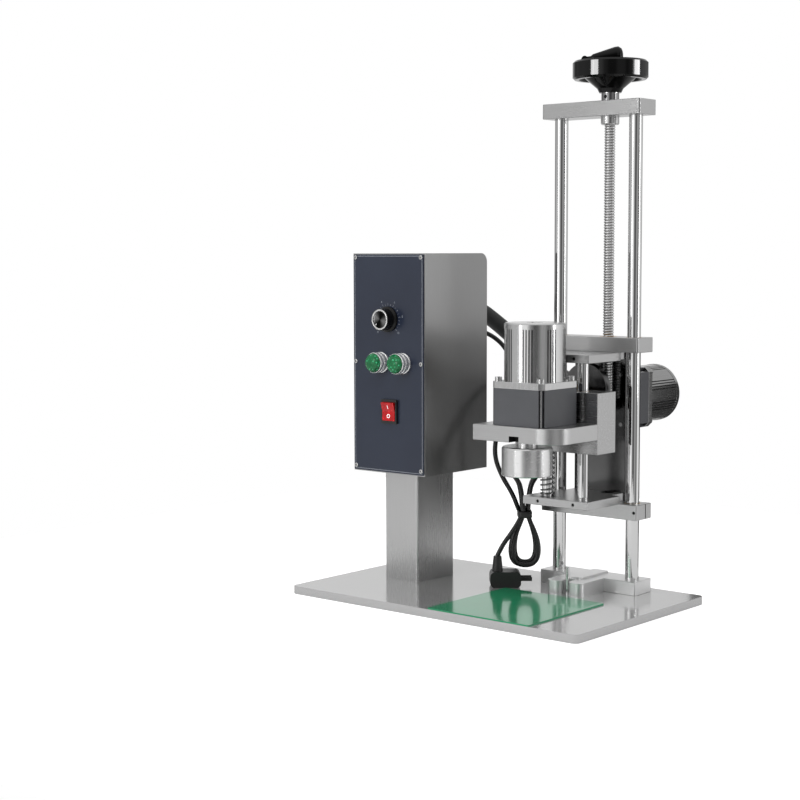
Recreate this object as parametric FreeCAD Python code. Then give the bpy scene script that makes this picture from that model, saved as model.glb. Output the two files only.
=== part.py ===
import FreeCAD, Part
import math
import os

# Semi-automatic bottle capping machine. Millimetres. Origin: centre of the base plate's underside,
# +X to the right as the operator faces the panel, +Y to the back, +Z up.

# Fits and gaps
FIT = 0.04              # radial clearance of a running fit
SEAT = 0.02             # radial clearance of a fixed fit
GAP = 0.3               # distance between faces that move past each other
EDGE_BREAK = 0.5        # chamfer on the edges of ground plates and bars

# Base plate and mat
BASE_W, BASE_D, BASE_T = 520.0, 330.0, 12.0
BASE_CORNER = 10.0
MAT_X0, MAT_X1, MAT_D, MAT_T = 5.0, 181.0, 184.0, 2.0
MAT_INSET = 1.0

# Column frame
COLUMN_X, COLUMN_Y, COLUMN_PITCH, COLUMN_R = 98.0, 120.0, 130.0, 10.0
BAR_END, BAR_D, FOOT_BAR_T = 8.0, 45.0, 20.0       # BAR_END: metal outside a column's bush
CROSSBAR_Z, CROSSBAR_T, BAR_EDGE = 710.0, 22.0, 3.0
COLUMN_SOCKET = 14.0

# Post and control box
POST_X0, POST_X1, POST_Y0, POST_Y1, POST_WALL = -190.0, -126.0, -28.0, 61.0, 3.0
POST_PLATE, POST_CORNER, POST_CABLE_R = 6.0, 3.0, 12.0
BOX_X0, BOX_X1, BOX_Y0, BOX_Y1, BOX_Z0, BOX_Z1 = -220.0, -80.0, -65.0, 85.0, 182.0, 512.0
BOX_WALL, BOX_BEND, BOX_LIP = 1.5, 14.0, 13.0
PANEL_T, PANEL_INSET, PANEL_SCREW_INSET = 1.5, 1.5, 6.0
PANEL_SCREW_Z = (190.0, 349.0, 506.0)

# Controls on the panel
KNOB_X, KNOB_Z, KNOB_R, KNOB_SKIRT_R, KNOB_L = -150.0, 414.0, 16.0, 19.0, 20.0
BUTTON_X, BUTTON_Z = (-164.0, -121.5), 349.0
BUTTON_R, BUTTON_TRAVEL, BEZEL_R, BEZEL_L, BUTTON_OUT = 14.0, 4.0, 15.6, 18.0, 26.0
SWITCH_X, SWITCH_Z, SWITCH_W, SWITCH_H, SWITCH_OUT = -146.0, 276.0, 30.0, 36.0, 4.0
ROCKER_W, ROCKER_R, ROCKER_TILT = 24.0, 14.0, 8.0

# Inside the control box, on its back wall
CONTROLLER_INSET, CONTROLLER_W, CONTROLLER_RISE, CONTROLLER_H, CONTROLLER_T = 15.0, 55.0, 118.0, 85.0, 28.0
FIN_COUNT, FIN_PITCH, FIN_T, FIN_L = 7, 8.0, 3.0, 12.0
CAPACITOR_W, CAPACITOR_H, CAPACITOR_T = 46.0, 20.0, 30.0
STRIP_RISE, STRIP_W, STRIP_T, STRIP_POLES, STRIP_HOLE_R, STRIP_HOLE_L = 53.0, 90.0, 20.0, 6, 3.5, 8.0

# Lift: two bars on the columns, back plate, rod plates and guide rods
LIFT_BAR_D, BUSH_WALL = 42.0, 2.0
LOWER_BAR_Z0, LOWER_BAR_Z1, UPPER_BAR_Z0, UPPER_BAR_Z1 = 122.5, 145.0, 367.5, 389.0
CLAMP_SLIT, CLAMP_WALL, CLAMP_SCREW_R = 2.0, 1.0, 2.5
BACK_X0, BACK_X1, BACK_Y0, BACK_T = 53.0, 143.0, 130.0, 12.5
ROD_X, ROD_PITCH, ROD_Y, ROD_R = 98.0, 62.0, 40.0, 8.0
ROD_PLATE_X0, ROD_PLATE_X1, ROD_PLATE_Y0, ROD_PLATE_Y1, ROD_PLATE_T = 41.0, 155.0, 15.0, 97.5, 12.0
TONGUE_X0, TONGUE_X1 = 55.0, 141.0
SPRING_CLEAR, SPRING_WIRE, SPRING_PITCH = 0.55, 2.5, 6.5

# Lead screw and handwheel
SCREW_X, SCREW_R, SCREW_WAY, JOURNAL_R, SCREW_END_Z = 118.5, 8.0, 1.5, 7.0, 296.0
NUT_R, BUSH_FLANGE_R, BUSH_FLANGE_T, BUSH_SLEEVE_R = 13.0, 13.5, 12.0, 10.0
COLLAR_R, COLLAR_T = 13.0, 11.7
WHEEL_R, WHEEL_HUB_R, WHEEL_H, WHEEL_RIM = 55.0, 17.0, 46.0, 8.0
HANDLE_PIVOT, HANDLE_L, HANDLE_R, HANDLE_RISE, HANDLE_TURN = 36.0, 52.0, 9.5, 7.0, 40.4
EAR_R, EAR_T, EYE_W, PIN_R = 5.0, 2.5, 6.0, 1.5

# Gear motors: 90 mm frame, shaft 18 mm off the centre of the gearhead
FRAME, FRAME_CORNER_R, SHAFT_OFFSET, SCREW_PCD = 90.0, 59.0, 18.0, 104.0
GEARHEAD_L, FLANGE_L, MOTOR_L, CAP_L, MOTOR_R = 52.0, 10.0, 74.0, 8.5, 43.5
BOSS_R, BOSS_L, SHAFT_R, SHAFT_IN = 17.0, 5.0, 7.5, 20.0
GROOVE_W, GROOVE_D, GROOVE_ANGLES = 1.7, 1.4, (15.0, 20.5, 26.0, 31.5)
LONG_SCREW_R, LONG_SCREW_HEAD_R, LONG_SCREW_HEAD, SCREW_SLOT = 3.0, 5.0, 6.0, 8.0
PRESS_Z = 295.0

# Head: sliding block, follower bar and motor plate
BLOCK_X0, BLOCK_X1, BLOCK_Y0, BLOCK_Y1, BLOCK_Z0, BLOCK_Z1 = 26.0, 170.0, 15.0, 62.0, 226.0, 314.0
FOLLOWER_X0, FOLLOWER_X1, FOLLOWER_D, FOLLOWER_T = 55.0, 141.0, 24.0, 18.0
PLATE_LEDGE, PLATE_Z0, PLATE_T, PLATE_CORNER_R = 5.0, 247.5, 22.5, 35.0
NOTCH_X, NOTCH_W, NOTCH_H, NOTCH_D = 97.8, 17.0, 9.0, 14.0
CAP_CLEAR = 6.0         # between the gearhead and the sliding block

# Crank that presses the head down
CRANK_R, CRANK_Y0, CRANK_T, CRANK_THROW, CRANK_HUB_R, CRANK_HUB_L = 37.5, 90.0, 12.0, 22.0, 14.0, 8.5
ROLLER_R, ROLLER_L, CRANK_PIN_R, CRANK_HEAD_R, CRANK_HEAD_T = 9.5, 20.0, 5.0, 7.5, 3.0
ROLLER_CLEAR = 5.5      # more than 0.21 of the throw, the most that crank and slide differ

# Chuck
CHUCK_R, CHUCK_Z0, CHUCK_H, NECK_R = 36.0, 199.0, 41.5, 15.0
LINER_R, LINER_H, MOUTH_R, THROAT_R = 30.0, 31.0, 26.0, 13.0

# Bottle locator on the foot bar
LOCATOR_W, LOCATOR_Y0, LOCATOR_TIP_R, SLOT_W, SLOT_L = 62.0, 36.0, 9.0, 12.0, 28.0
STRAP_W, STRAP_Y0, STRAP_T = 26.0, 66.0, 3.0
LOCATOR_PIN_R, LOCATOR_PIN_Y, LOCATOR_PIN_TOP = 2.5, 48.0, 52.0

# Fasteners
BOLT_R, BOLT_HEAD_R, BOLT_HEAD_H = 4.0, 8.0, 4.0
GRUB_R, GRUB_SINK = 2.5, 1.0
PANEL_SCREW_R, PANEL_SCREW_HEAD_R, PANEL_SCREW_HEAD = 1.9, 3.4, 1.8

# Cables: the points of each route, and its diameter
CONDUIT_D, CORD_D = 26.0, 7.0
GLAND_L, GLAND_R, CORD_GLAND_L, CORD_GLAND_R = 22.0, 18.0, 16.0, 8.0
CONDUIT = [(-172, 107, 430), (-172, 168, 430), (-154, 216, 396), (-118, 240, 356), (-72, 252, 322),
           (-20, 262, 292), (32, 262, 292)]
FEED = [(-140, 101, 394), (-139, 140, 393), (-112, 166, 372), (-76, 150, 338), (-54, 112, 308),
        (-42, 78, 276), (-34, 50, 243), (-31, 39, 208), (-22, 47, 176), (-10, 58, 150), (-4, 66, 124)]
TAIL = [(10, 56, 121), (5, 48.5, 105), (-3, 41.5, 89), (-12, 34, 73), (-17, 29.5, 58)]
HANK_X, HANK_Y, HANK_Z0, HANK_Z1, HANK_WAIST_Z = 8.0, 66.0, 37.0, 212.0, 121.0
HANK_HALF, HANK_THICK, HANK_BUNDLE, HANK_TURN = 24.5, 23.0, 13.0, 40.4
HANK_WAIST_HALF, HANK_WAIST_H, HANK_WAIST_THICK = 9.0, 20.0, 29.0
PLUG_X, PLUG_Y, PLUG_L, PLUG_W, PLUG_H = -8.0, 37.0, 46.0, 32.0, 24.0
PLUG_ENTRY, PLUG_NECK_H, PLUG_NECK_R = -11.6, 22.0, 6.0
PRONG_L, PRONG_W, PRONG_T, PRONG_PITCH = 17.0, 6.0, 1.6, 14.0

X, Y, Z = (1, 0, 0), (0, 1, 0), (0, 0, 1)
COLUMNS = (COLUMN_X - COLUMN_PITCH / 2, COLUMN_X + COLUMN_PITCH / 2)
RODS = (ROD_X - ROD_PITCH / 2, ROD_X + ROD_PITCH / 2)
BUSH_R = COLUMN_R + BUSH_WALL
BAR_X0, BAR_X1 = COLUMNS[0] - BUSH_R - BAR_END, COLUMNS[1] + BUSH_R + BAR_END
CLAMP_X = COLUMNS[1] + BUSH_R + CLAMP_WALL + CLAMP_SCREW_R
SPRING_R = ROD_R + SPRING_CLEAR + SPRING_WIRE / 2
CAP_MOTOR_Y = BLOCK_Y0 - CAP_CLEAR - FRAME / 2
PLATE_Y0 = CAP_MOTOR_Y - FRAME / 2 - PLATE_LEDGE
CRANK_Z = PRESS_Z + SHAFT_OFFSET
BACK_Y1 = BACK_Y0 + BACK_T
PANEL_Y = BOX_Y0 - PANEL_T
CROSSBAR_TOP = CROSSBAR_Z + CROSSBAR_T
PLATE_TOP = PLATE_Z0 + PLATE_T
CHUCK_Y = CAP_MOTOR_Y - SHAFT_OFFSET


def vec(point):
    return FreeCAD.Vector(*point)


def box(x0, x1, y0, y1, z0, z1):
    return Part.makeBox(x1 - x0, y1 - y0, z1 - z0, vec((x0, y0, z0)))


def rod(point, radius, length, axis):
    return Part.makeCylinder(radius, length, vec(point), vec(axis))


def tube(point, outer, inner, length, axis):
    return rod(point, outer, length, axis).cut(rod(point, inner, length, axis))


def prism(points, z0, z1):
    """An upright prism on a plan outline."""
    corners = [vec((x, y, z0)) for x, y in points]
    face = Part.Face(Part.makePolygon(corners + corners[:1]))
    return face.extrude(vec((0, 0, z1 - z0)))


def turned(profile):
    """A body of revolution about Z from (radius, height) points."""
    corners = [vec((r, 0, z)) for r, z in profile]
    face = Part.Face(Part.makePolygon(corners + corners[:1]))
    return face.revolve(vec((0, 0, 0)), vec(Z), 360)


def moved(shape, point, axis=Z, angle=0.0):
    """The shape turned about the origin, then set down at a point."""
    copy = shape.copy()
    copy.rotate(vec((0, 0, 0)), vec(axis), angle)
    copy.translate(vec(point))
    return copy


def edges_along(shape, axis, keep=lambda p: True):
    """Straight edges parallel to an axis whose middle passes a test."""
    found = []
    for edge in shape.Edges:
        if not isinstance(edge.Curve, Part.Line):
            continue
        start, end = edge.Vertexes[0].Point, edge.Vertexes[-1].Point
        along = (end - start).normalize()
        if abs(abs(along.dot(vec(axis))) - 1) < 1e-6 and keep((start + end) * 0.5):
            found.append(edge)
    return found


def rounded(shape, radius, axis, keep=lambda p: True):
    return shape.makeFillet(radius, edges_along(shape, axis, keep))


def eased(shape, size=EDGE_BREAK):
    """The outline edges of a plate's top and bottom broken by a small chamfer."""
    return shape.makeChamfer(size, [e for e in shape.Edges if e.BoundBox.ZLength < 1e-3])


def drilled(shape, holes):
    for hole in holes:
        shape = shape.cut(hole)
    return shape


def save(name, *solids):
    shape = solids[0] if len(solids) == 1 else Part.makeCompound(list(solids))
    shape.exportStep("parts/%s.step" % name)


def swept(points, diameter, name):
    """A round tube on straight runs joined by tangent arcs."""
    pts = [vec(p) for p in points]
    edges, start, radii = [], pts[0], []
    for before, corner, after in zip(pts, pts[1:], pts[2:]):
        into, out = corner - before, after - corner
        shorter = min(into.Length, out.Length)
        turn = into.getAngle(out)
        cut = 0.45 * shorter
        radii.append(cut / math.tan(turn / 2))
        a = corner - into * (cut / into.Length)
        b = corner + out * (cut / out.Length)
        bisector = (b - corner).normalize() + (a - corner).normalize()
        reach = radii[-1] / math.cos(turn / 2) - radii[-1]
        middle = corner + bisector.normalize() * reach
        edges += [Part.LineSegment(start, a).toShape(), Part.Arc(a, middle, b).toShape()]
        start = b
    edges.append(Part.LineSegment(start, pts[-1]).toShape())
    path = Part.Wire(edges)
    ring = Part.Wire(Part.makeCircle(diameter / 2, pts[0], pts[1] - pts[0]))
    solid = path.makePipeShell([ring], True, False)
    expected = math.pi * diameter ** 2 / 4 * path.Length
    print("%s: length %.0f, volume ratio %.4f, arc radii %s" % (
        name, path.Length, solid.Volume / expected, " ".join("%.0f" % r for r in radii)))
    return solid


def countersunk(point, length):
    """A countersunk screw whose head is flush with the underside and whose shank points up."""
    head = Part.makeCone(BOLT_HEAD_R, BOLT_R, BOLT_HEAD_H, vec(point), vec(Z))
    return head.fuse(rod(point, BOLT_R, length, Z))


# Base plate, foot bar, columns and crossbar

def post_bolts():
    inset = POST_WALL + BOLT_HEAD_R
    return [(x, y) for x in (POST_X0 + inset, POST_X1 - inset) for y in (POST_Y0 + inset, POST_Y1 - inset)]


def foot_bolts():
    return [(x, COLUMN_Y) for x in COLUMNS]


def base_plate():
    plate = box(-BASE_W / 2, BASE_W / 2, -BASE_D / 2, BASE_D / 2, 0, BASE_T)
    plate = eased(rounded(plate, BASE_CORNER, Z))
    holes = [countersunk((x, y, 0), BASE_T) for x, y in post_bolts() + foot_bolts()]
    holes.append(rod((COLUMN_X, LOCATOR_PIN_Y, 4), LOCATOR_PIN_R + SEAT, BASE_T, Z))
    save("base_plate", drilled(plate, holes))


def green_mat():
    front = -BASE_D / 2 + MAT_INSET
    mat = box(MAT_X0, MAT_X1, front, front + MAT_D, BASE_T, BASE_T + MAT_T)
    save("green_mat", rounded(mat, 2.0, Z))


def bar(z0, z1, depth):
    """A flat bar across the two columns, with softened ends."""
    blank = box(BAR_X0, BAR_X1, COLUMN_Y - depth / 2, COLUMN_Y + depth / 2, z0, z1)
    return eased(rounded(blank, BAR_EDGE, Z))


def column_frame():
    foot_top = BASE_T + FOOT_BAR_T
    foot = bar(BASE_T, foot_top, BAR_D)
    sockets = [rod((x, COLUMN_Y, BASE_T), COLUMN_R + SEAT, FOOT_BAR_T, Z) for x in COLUMNS]
    save("column_base_bar", drilled(foot, sockets))
    socket_top = CROSSBAR_Z + COLUMN_SOCKET
    for name, x in zip(("left_column", "right_column"), COLUMNS):
        column = rod((x, COLUMN_Y, BASE_T), COLUMN_R, socket_top - BASE_T, Z)
        column = column.cut(rod((x, COLUMN_Y, BASE_T), BOLT_R, 20, Z))
        save(name, column.makeChamfer(1.0, [e for e in column.Edges if e.BoundBox.ZMin > socket_top - 0.1]))
    cross = bar(CROSSBAR_Z, CROSSBAR_TOP, BAR_D)
    cuts = [rod((x, COLUMN_Y, CROSSBAR_Z), COLUMN_R + SEAT, COLUMN_SOCKET, Z) for x in COLUMNS]
    cuts += [grub_hole(x, CROSSBAR_Z + COLUMN_SOCKET / 2) for x in COLUMNS]
    cuts.append(rod((SCREW_X, COLUMN_Y, CROSSBAR_Z), BUSH_SLEEVE_R + SEAT, CROSSBAR_T, Z))
    save("top_crossbar", drilled(cross, cuts))


def grub_hole(x, z):
    """Tapped hole from the back face of a crossbar to the column."""
    back = COLUMN_Y + BAR_D / 2
    return rod((x, back, z), GRUB_R, back - COLUMN_Y - COLUMN_R, (0, -1, 0))


def grub_screw(x, z):
    back = COLUMN_Y + BAR_D / 2 - GRUB_SINK
    return rod((x, back, z), GRUB_R, back - COLUMN_Y - COLUMN_R, (0, -1, 0))


def frame_screws():
    screws = [countersunk((x, y, 0), BASE_T + POST_PLATE) for x, y in post_bolts()]
    screws += [countersunk((x, y, 0), BASE_T + 18) for x, y in foot_bolts()]
    screws += [grub_screw(x, CROSSBAR_Z + COLUMN_SOCKET / 2) for x in COLUMNS]
    top = BOX_Z0 - POST_PLATE
    for x, y in post_bolts():
        shank = rod((x, y, top), BOLT_R, POST_PLATE + BOX_WALL, Z)
        screws.append(shank.fuse(rod((x, y, BOX_Z0 + BOX_WALL), BOLT_HEAD_R - 1, BOLT_HEAD_H, Z)))
    save("frame_screws", *screws)


def locator():
    x0, x1 = COLUMN_X - LOCATOR_W / 2, COLUMN_X + LOCATOR_W / 2
    front_of_bar = COLUMN_Y - BAR_D / 2
    top = BASE_T + FOOT_BAR_T
    block = box(x0, x1, LOCATOR_Y0, front_of_bar, BASE_T, top)
    block = block.cut(box(COLUMN_X - SLOT_W / 2, COLUMN_X + SLOT_W / 2, LOCATOR_Y0,
                          LOCATOR_Y0 + SLOT_L - SLOT_W / 2, BASE_T, top))
    block = rounded(block, LOCATOR_TIP_R, Z, lambda p: p.y < LOCATOR_Y0 + 1)
    block = block.cut(rod((COLUMN_X, LOCATOR_Y0 + SLOT_L - SLOT_W / 2, BASE_T), SLOT_W / 2, top, Z))
    strap = box(COLUMN_X - STRAP_W / 2, COLUMN_X + STRAP_W / 2, STRAP_Y0, COLUMN_Y + BAR_D / 2 - 4,
                top, top + STRAP_T)
    save("locator_block", block.fuse(rounded(strap, 4.0, Z)))
    pin = rod((COLUMN_X, LOCATOR_PIN_Y, 4), LOCATOR_PIN_R, LOCATOR_PIN_TOP - 4, Z)
    save("locator_pin", pin.makeChamfer(0.6, [e for e in pin.Edges if e.BoundBox.ZMin > LOCATOR_PIN_TOP - 0.1]))


# Post and control box

def post():
    outer = rounded(box(POST_X0, POST_X1, POST_Y0, POST_Y1, BASE_T, BOX_Z0), POST_CORNER, Z)
    inner = box(POST_X0 + POST_WALL, POST_X1 - POST_WALL, POST_Y0 + POST_WALL, POST_Y1 - POST_WALL,
                BASE_T + POST_PLATE, BOX_Z0 - POST_PLATE)
    middle = ((POST_X0 + POST_X1) / 2, (POST_Y0 + POST_Y1) / 2, BOX_Z0 - POST_PLATE)
    holes = [rod((x, y, BASE_T), BOLT_R, POST_PLATE, Z) for x, y in post_bolts()]
    holes += [rod((x, y, BOX_Z0 - POST_PLATE), BOLT_R, POST_PLATE, Z) for x, y in post_bolts()]
    holes.append(rod(middle, POST_CABLE_R, POST_PLATE, Z))
    save("post", drilled(outer.cut(inner), holes))


def panel_screw_places():
    return [(x, z) for x in (BOX_X0 + PANEL_SCREW_INSET, BOX_X1 - PANEL_SCREW_INSET) for z in PANEL_SCREW_Z]


def control_box():
    outer = box(BOX_X0, BOX_X1, BOX_Y0, BOX_Y1, BOX_Z0, BOX_Z1)
    outer = rounded(outer, BOX_BEND, X, lambda p: p.y > BOX_Y1 - 1 and p.z > BOX_Z1 - 1)
    inner = box(BOX_X0 + BOX_WALL, BOX_X1 - BOX_WALL, BOX_Y0 + BOX_WALL, BOX_Y1 - BOX_WALL,
                BOX_Z0 + BOX_WALL, BOX_Z1 - BOX_WALL)
    inner = rounded(inner, BOX_BEND - BOX_WALL, X, lambda p: p.y > BOX_Y1 - 3 and p.z > BOX_Z1 - 3)
    window = box(BOX_X0 + BOX_LIP, BOX_X1 - BOX_LIP, BOX_Y0, BOX_Y0 + BOX_WALL,
                 BOX_Z0 + BOX_LIP, BOX_Z1 - BOX_LIP)
    shell = outer.cut(inner).cut(window)
    holes = [rod((x, BOX_Y0, z), PANEL_SCREW_R, BOX_WALL, Y) for x, z in panel_screw_places()]
    holes += [rod((x, y, BOX_Z0), BOLT_R, BOX_WALL, Z) for x, y in post_bolts()]
    middle = ((POST_X0 + POST_X1) / 2, (POST_Y0 + POST_Y1) / 2, BOX_Z0)
    holes.append(rod(middle, POST_CABLE_R, BOX_WALL, Z))
    holes.append(rod((CONDUIT[0][0], BOX_Y1 - BOX_WALL, CONDUIT[0][2]), CONDUIT_D / 2, BOX_WALL, Y))
    holes.append(rod((FEED[0][0], BOX_Y1 - BOX_WALL, FEED[0][2]), CORD_D, BOX_WALL, Y))
    save("control_box_shell", drilled(shell, holes))


def front_panel():
    panel = box(BOX_X0 + PANEL_INSET, BOX_X1 - PANEL_INSET, PANEL_Y, BOX_Y0,
                BOX_Z0 + PANEL_INSET, BOX_Z1 - PANEL_INSET)
    panel = rounded(panel, 2.0, Y)
    holes = [rod((x, PANEL_Y, z), PANEL_SCREW_R, PANEL_T, Y) for x, z in panel_screw_places()]
    holes += [rod((x, PANEL_Y, BUTTON_Z), BEZEL_R - 4, PANEL_T, Y) for x in BUTTON_X]
    holes.append(rod((KNOB_X, PANEL_Y, KNOB_Z), 4.5, PANEL_T, Y))
    holes.append(box(SWITCH_X - SWITCH_W / 2 + 2, SWITCH_X + SWITCH_W / 2 - 2, PANEL_Y, BOX_Y0,
                     SWITCH_Z - SWITCH_H / 2 + 2, SWITCH_Z + SWITCH_H / 2 - 2))
    save("front_panel", drilled(panel, holes))
    screws = []
    for x, z in panel_screw_places():
        head = rod((x, PANEL_Y, z), PANEL_SCREW_HEAD_R, PANEL_SCREW_HEAD, (0, -1, 0))
        head = head.makeFillet(1.0, [e for e in head.Edges if e.BoundBox.YMax < PANEL_Y - 1])
        screws.append(head.fuse(rod((x, PANEL_Y, z), PANEL_SCREW_R, 9, Y)))
    save("panel_screws", *screws)


def speed_knob():
    """The knob and its spindle, and the potentiometer that the spindle turns in."""
    face = -KNOB_L
    profile = [(0, face + 1.5), (KNOB_R - 3, face + 1.5), (KNOB_R - 2, face), (KNOB_R, face + 0.8),
               (KNOB_R, -5), (KNOB_SKIRT_R, -3), (KNOB_SKIRT_R, -GAP), (3, -GAP), (3, 12), (0, 12)]
    knob = moved(turned(profile), (0, 0, 0), X, -90)
    save("speed_knob", moved(knob, (KNOB_X, PANEL_Y, KNOB_Z)))
    can = rod((KNOB_X, BOX_Y0, KNOB_Z), 12.0, 13.5, Y)
    bushing = rod((KNOB_X, PANEL_Y, KNOB_Z), 4.5, PANEL_T, Y)
    pot = can.fuse(bushing).cut(rod((KNOB_X, PANEL_Y, KNOB_Z), 3 + FIT, 12 + GAP, Y))
    save("speed_potentiometer", pot)


def push_buttons():
    """Green domed push buttons in stepped bright bezels, with their contact blocks behind the panel."""
    sleeve_front = -BEZEL_L
    lens_back = sleeve_front + 3.5
    floor = lens_back + BUTTON_TRAVEL + GAP
    stem_r, stem_end = 4.0, 20.0
    bezel = [(stem_r + GAP, floor), (BUTTON_R + GAP, floor), (BUTTON_R + GAP, sleeve_front),
             (BEZEL_R - 0.3, sleeve_front), (BEZEL_R, sleeve_front + 0.6), (BEZEL_R, -6.5), (BEZEL_R + 1, -5.5),
             (BEZEL_R + 1, -3), (BEZEL_R + 2, -2.4), (BEZEL_R + 2, 0), (BEZEL_R - 4, 0), (BEZEL_R - 4, 10),
             (stem_r + GAP, 10)]
    dome = [(0, -BUTTON_OUT), (7, -BUTTON_OUT + 0.9), (11.5, -BUTTON_OUT + 2.9), (BUTTON_R, -BUTTON_OUT + 6.4),
            (BUTTON_R, lens_back), (stem_r, lens_back), (stem_r, stem_end), (0, stem_end)]
    turned_bezel = moved(turned(bezel), (0, 0, 0), X, -90)
    turned_lens = moved(turned(dome), (0, 0, 0), X, -90)
    housings = []
    for x, name in zip(BUTTON_X, ("start_button", "stop_button")):
        block = box(x - 14, x + 14, PANEL_Y + 10, PANEL_Y + 34, BUTTON_Z - 20, BUTTON_Z + 20)
        well = rod((x, PANEL_Y + 10, BUTTON_Z), stem_r + GAP, stem_end - 10 + BUTTON_TRAVEL + GAP, Y)
        housings.append(moved(turned_bezel, (x, PANEL_Y, BUTTON_Z)).fuse(block.cut(well)))
        save(name, moved(turned_lens, (x, PANEL_Y, BUTTON_Z)))
    save("button_bezels", *housings)


def rocker_switch():
    """Rocker in its frame. At rest its lower end is pressed."""
    x0, x1 = SWITCH_X - SWITCH_W / 2, SWITCH_X + SWITCH_W / 2
    z0, z1 = SWITCH_Z - SWITCH_H / 2, SWITCH_Z + SWITCH_H / 2
    front = PANEL_Y - SWITCH_OUT
    frame = rounded(box(x0, x1, front, PANEL_Y, z0, z1), 1.5, Y)
    body = box(x0 + 2, x1 - 2, PANEL_Y, PANEL_Y + 22, z0 + 2, z1 - 2)
    pivot = (x0, front + 0.5, SWITCH_Z)
    hollow = rod((SWITCH_X - ROCKER_W / 2 - GAP, pivot[1], SWITCH_Z), ROCKER_R + GAP, ROCKER_W + 2 * GAP, X)
    save("switch_frame", frame.fuse(body).cut(hollow))
    round_part = rod((-ROCKER_W / 2, 0, 0), ROCKER_R, ROCKER_W, X)
    edge, valley, far = 3.0, 1.0, ROCKER_R + 2
    outline = [(-edge, far), (-edge, ROCKER_R - 1), (-valley, 0), (-edge, 1 - ROCKER_R), (-edge, -far),
               (far, -far), (far, far)]
    corners = [vec((-ROCKER_W / 2, y, z)) for y, z in outline]
    keep = Part.Face(Part.makePolygon(corners + corners[:1])).extrude(vec((ROCKER_W, 0, 0)))
    save("rocker", moved(round_part.common(keep), (SWITCH_X, pivot[1], SWITCH_Z), X, ROCKER_TILT))


def inside_the_box():
    """Speed controller with its fins, run capacitor and terminal block, on the back wall."""
    back = BOX_Y1 - BOX_WALL
    x0, x1 = BOX_X0 + CONTROLLER_INSET, BOX_X0 + CONTROLLER_INSET + CONTROLLER_W
    z0, z1 = BOX_Z0 + CONTROLLER_RISE, BOX_Z0 + CONTROLLER_RISE + CONTROLLER_H
    board = box(x0, x1, back - CONTROLLER_T, back, z0, z1)
    front = back - CONTROLLER_T
    for i in range(FIN_COUNT):
        x = x0 + FIN_PITCH / 4 + FIN_PITCH * i
        board = board.fuse(box(x, x + FIN_T, front - FIN_L, front, z0 + FIN_T, z1 - FIN_T))
    save("speed_controller", board)
    can_x1 = BOX_X1 - CONTROLLER_INSET
    can = box(can_x1 - CAPACITOR_W, can_x1, back - CAPACITOR_T, back, z0, z0 + CAPACITOR_H)
    save("run_capacitor", rounded(can, 3.0, Y))
    strip_z = BOX_Z0 + STRIP_RISE
    strip = box(x0, x0 + STRIP_W, back - STRIP_T, back, strip_z, strip_z + STRIP_T)
    pitch = STRIP_W / STRIP_POLES
    for i in range(STRIP_POLES):
        hole = (x0 + pitch * (i + 0.5), back - STRIP_T, strip_z + STRIP_T / 2)
        strip = strip.cut(rod(hole, STRIP_HOLE_R, STRIP_HOLE_L, Y))
    save("terminal_block", strip)


# Lift carriage

def lift_bar(z0, z1):
    blank = bar(z0, z1, LIFT_BAR_D)
    return drilled(blank, [rod((x, COLUMN_Y, z0), BUSH_R + SEAT, z1 - z0, Z) for x in COLUMNS])


def lift_bars():
    upper = lift_bar(UPPER_BAR_Z0, UPPER_BAR_Z1)
    upper = upper.cut(rod((SCREW_X, COLUMN_Y, UPPER_BAR_Z0), NUT_R + SEAT, UPPER_BAR_Z1 - UPPER_BAR_Z0, Z))
    save("upper_lift_bar", upper)
    lower = lift_bar(LOWER_BAR_Z0, LOWER_BAR_Z1)
    height = LOWER_BAR_Z1 - LOWER_BAR_Z0
    slit = box(COLUMNS[1], BAR_X1, COLUMN_Y + 3, COLUMN_Y + 3 + CLAMP_SLIT, LOWER_BAR_Z0, LOWER_BAR_Z1)
    clamp = rod((CLAMP_X, COLUMN_Y - LIFT_BAR_D / 2, LOWER_BAR_Z0 + height / 2),
                CLAMP_SCREW_R, LIFT_BAR_D - 6, Y)
    screw_way = rod((SCREW_X, COLUMN_Y, LOWER_BAR_Z0), SCREW_R + SCREW_WAY, height, Z)
    save("lower_lift_bar", drilled(lower, [slit, clamp, screw_way]))
    bushes = []
    for x in COLUMNS:
        for z0, z1 in ((LOWER_BAR_Z0, LOWER_BAR_Z1), (UPPER_BAR_Z0, UPPER_BAR_Z1)):
            bushes.append(tube((x, COLUMN_Y, z0), BUSH_R, COLUMN_R + FIT, z1 - z0, Z))
    save("column_bushes", *bushes)
    nut_l = UPPER_BAR_Z1 - UPPER_BAR_Z0
    save("lift_nut", tube((SCREW_X, COLUMN_Y, UPPER_BAR_Z0), NUT_R, SCREW_R + FIT, nut_l, Z))


def press_screw_places():
    half = SCREW_PCD / 2 / math.sqrt(2)
    return [(COLUMN_X + sx * half, PRESS_Z + sz * half) for sx in (-1, 1) for sz in (-1, 1)]


def back_plate():
    plate = box(BACK_X0, BACK_X1, BACK_Y0, BACK_Y1, LOWER_BAR_Z1, UPPER_BAR_Z0)
    plate = plate.makeChamfer(EDGE_BREAK, edges_along(plate, Z))
    holes = [rod((x, BACK_Y0, z), LONG_SCREW_R, BACK_T, Y) for x, z in press_screw_places()]
    holes.append(rod((COLUMN_X, BACK_Y0, CRANK_Z), BOSS_R + SEAT, BACK_T, Y))
    save("lift_back_plate", drilled(plate, holes))


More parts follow.
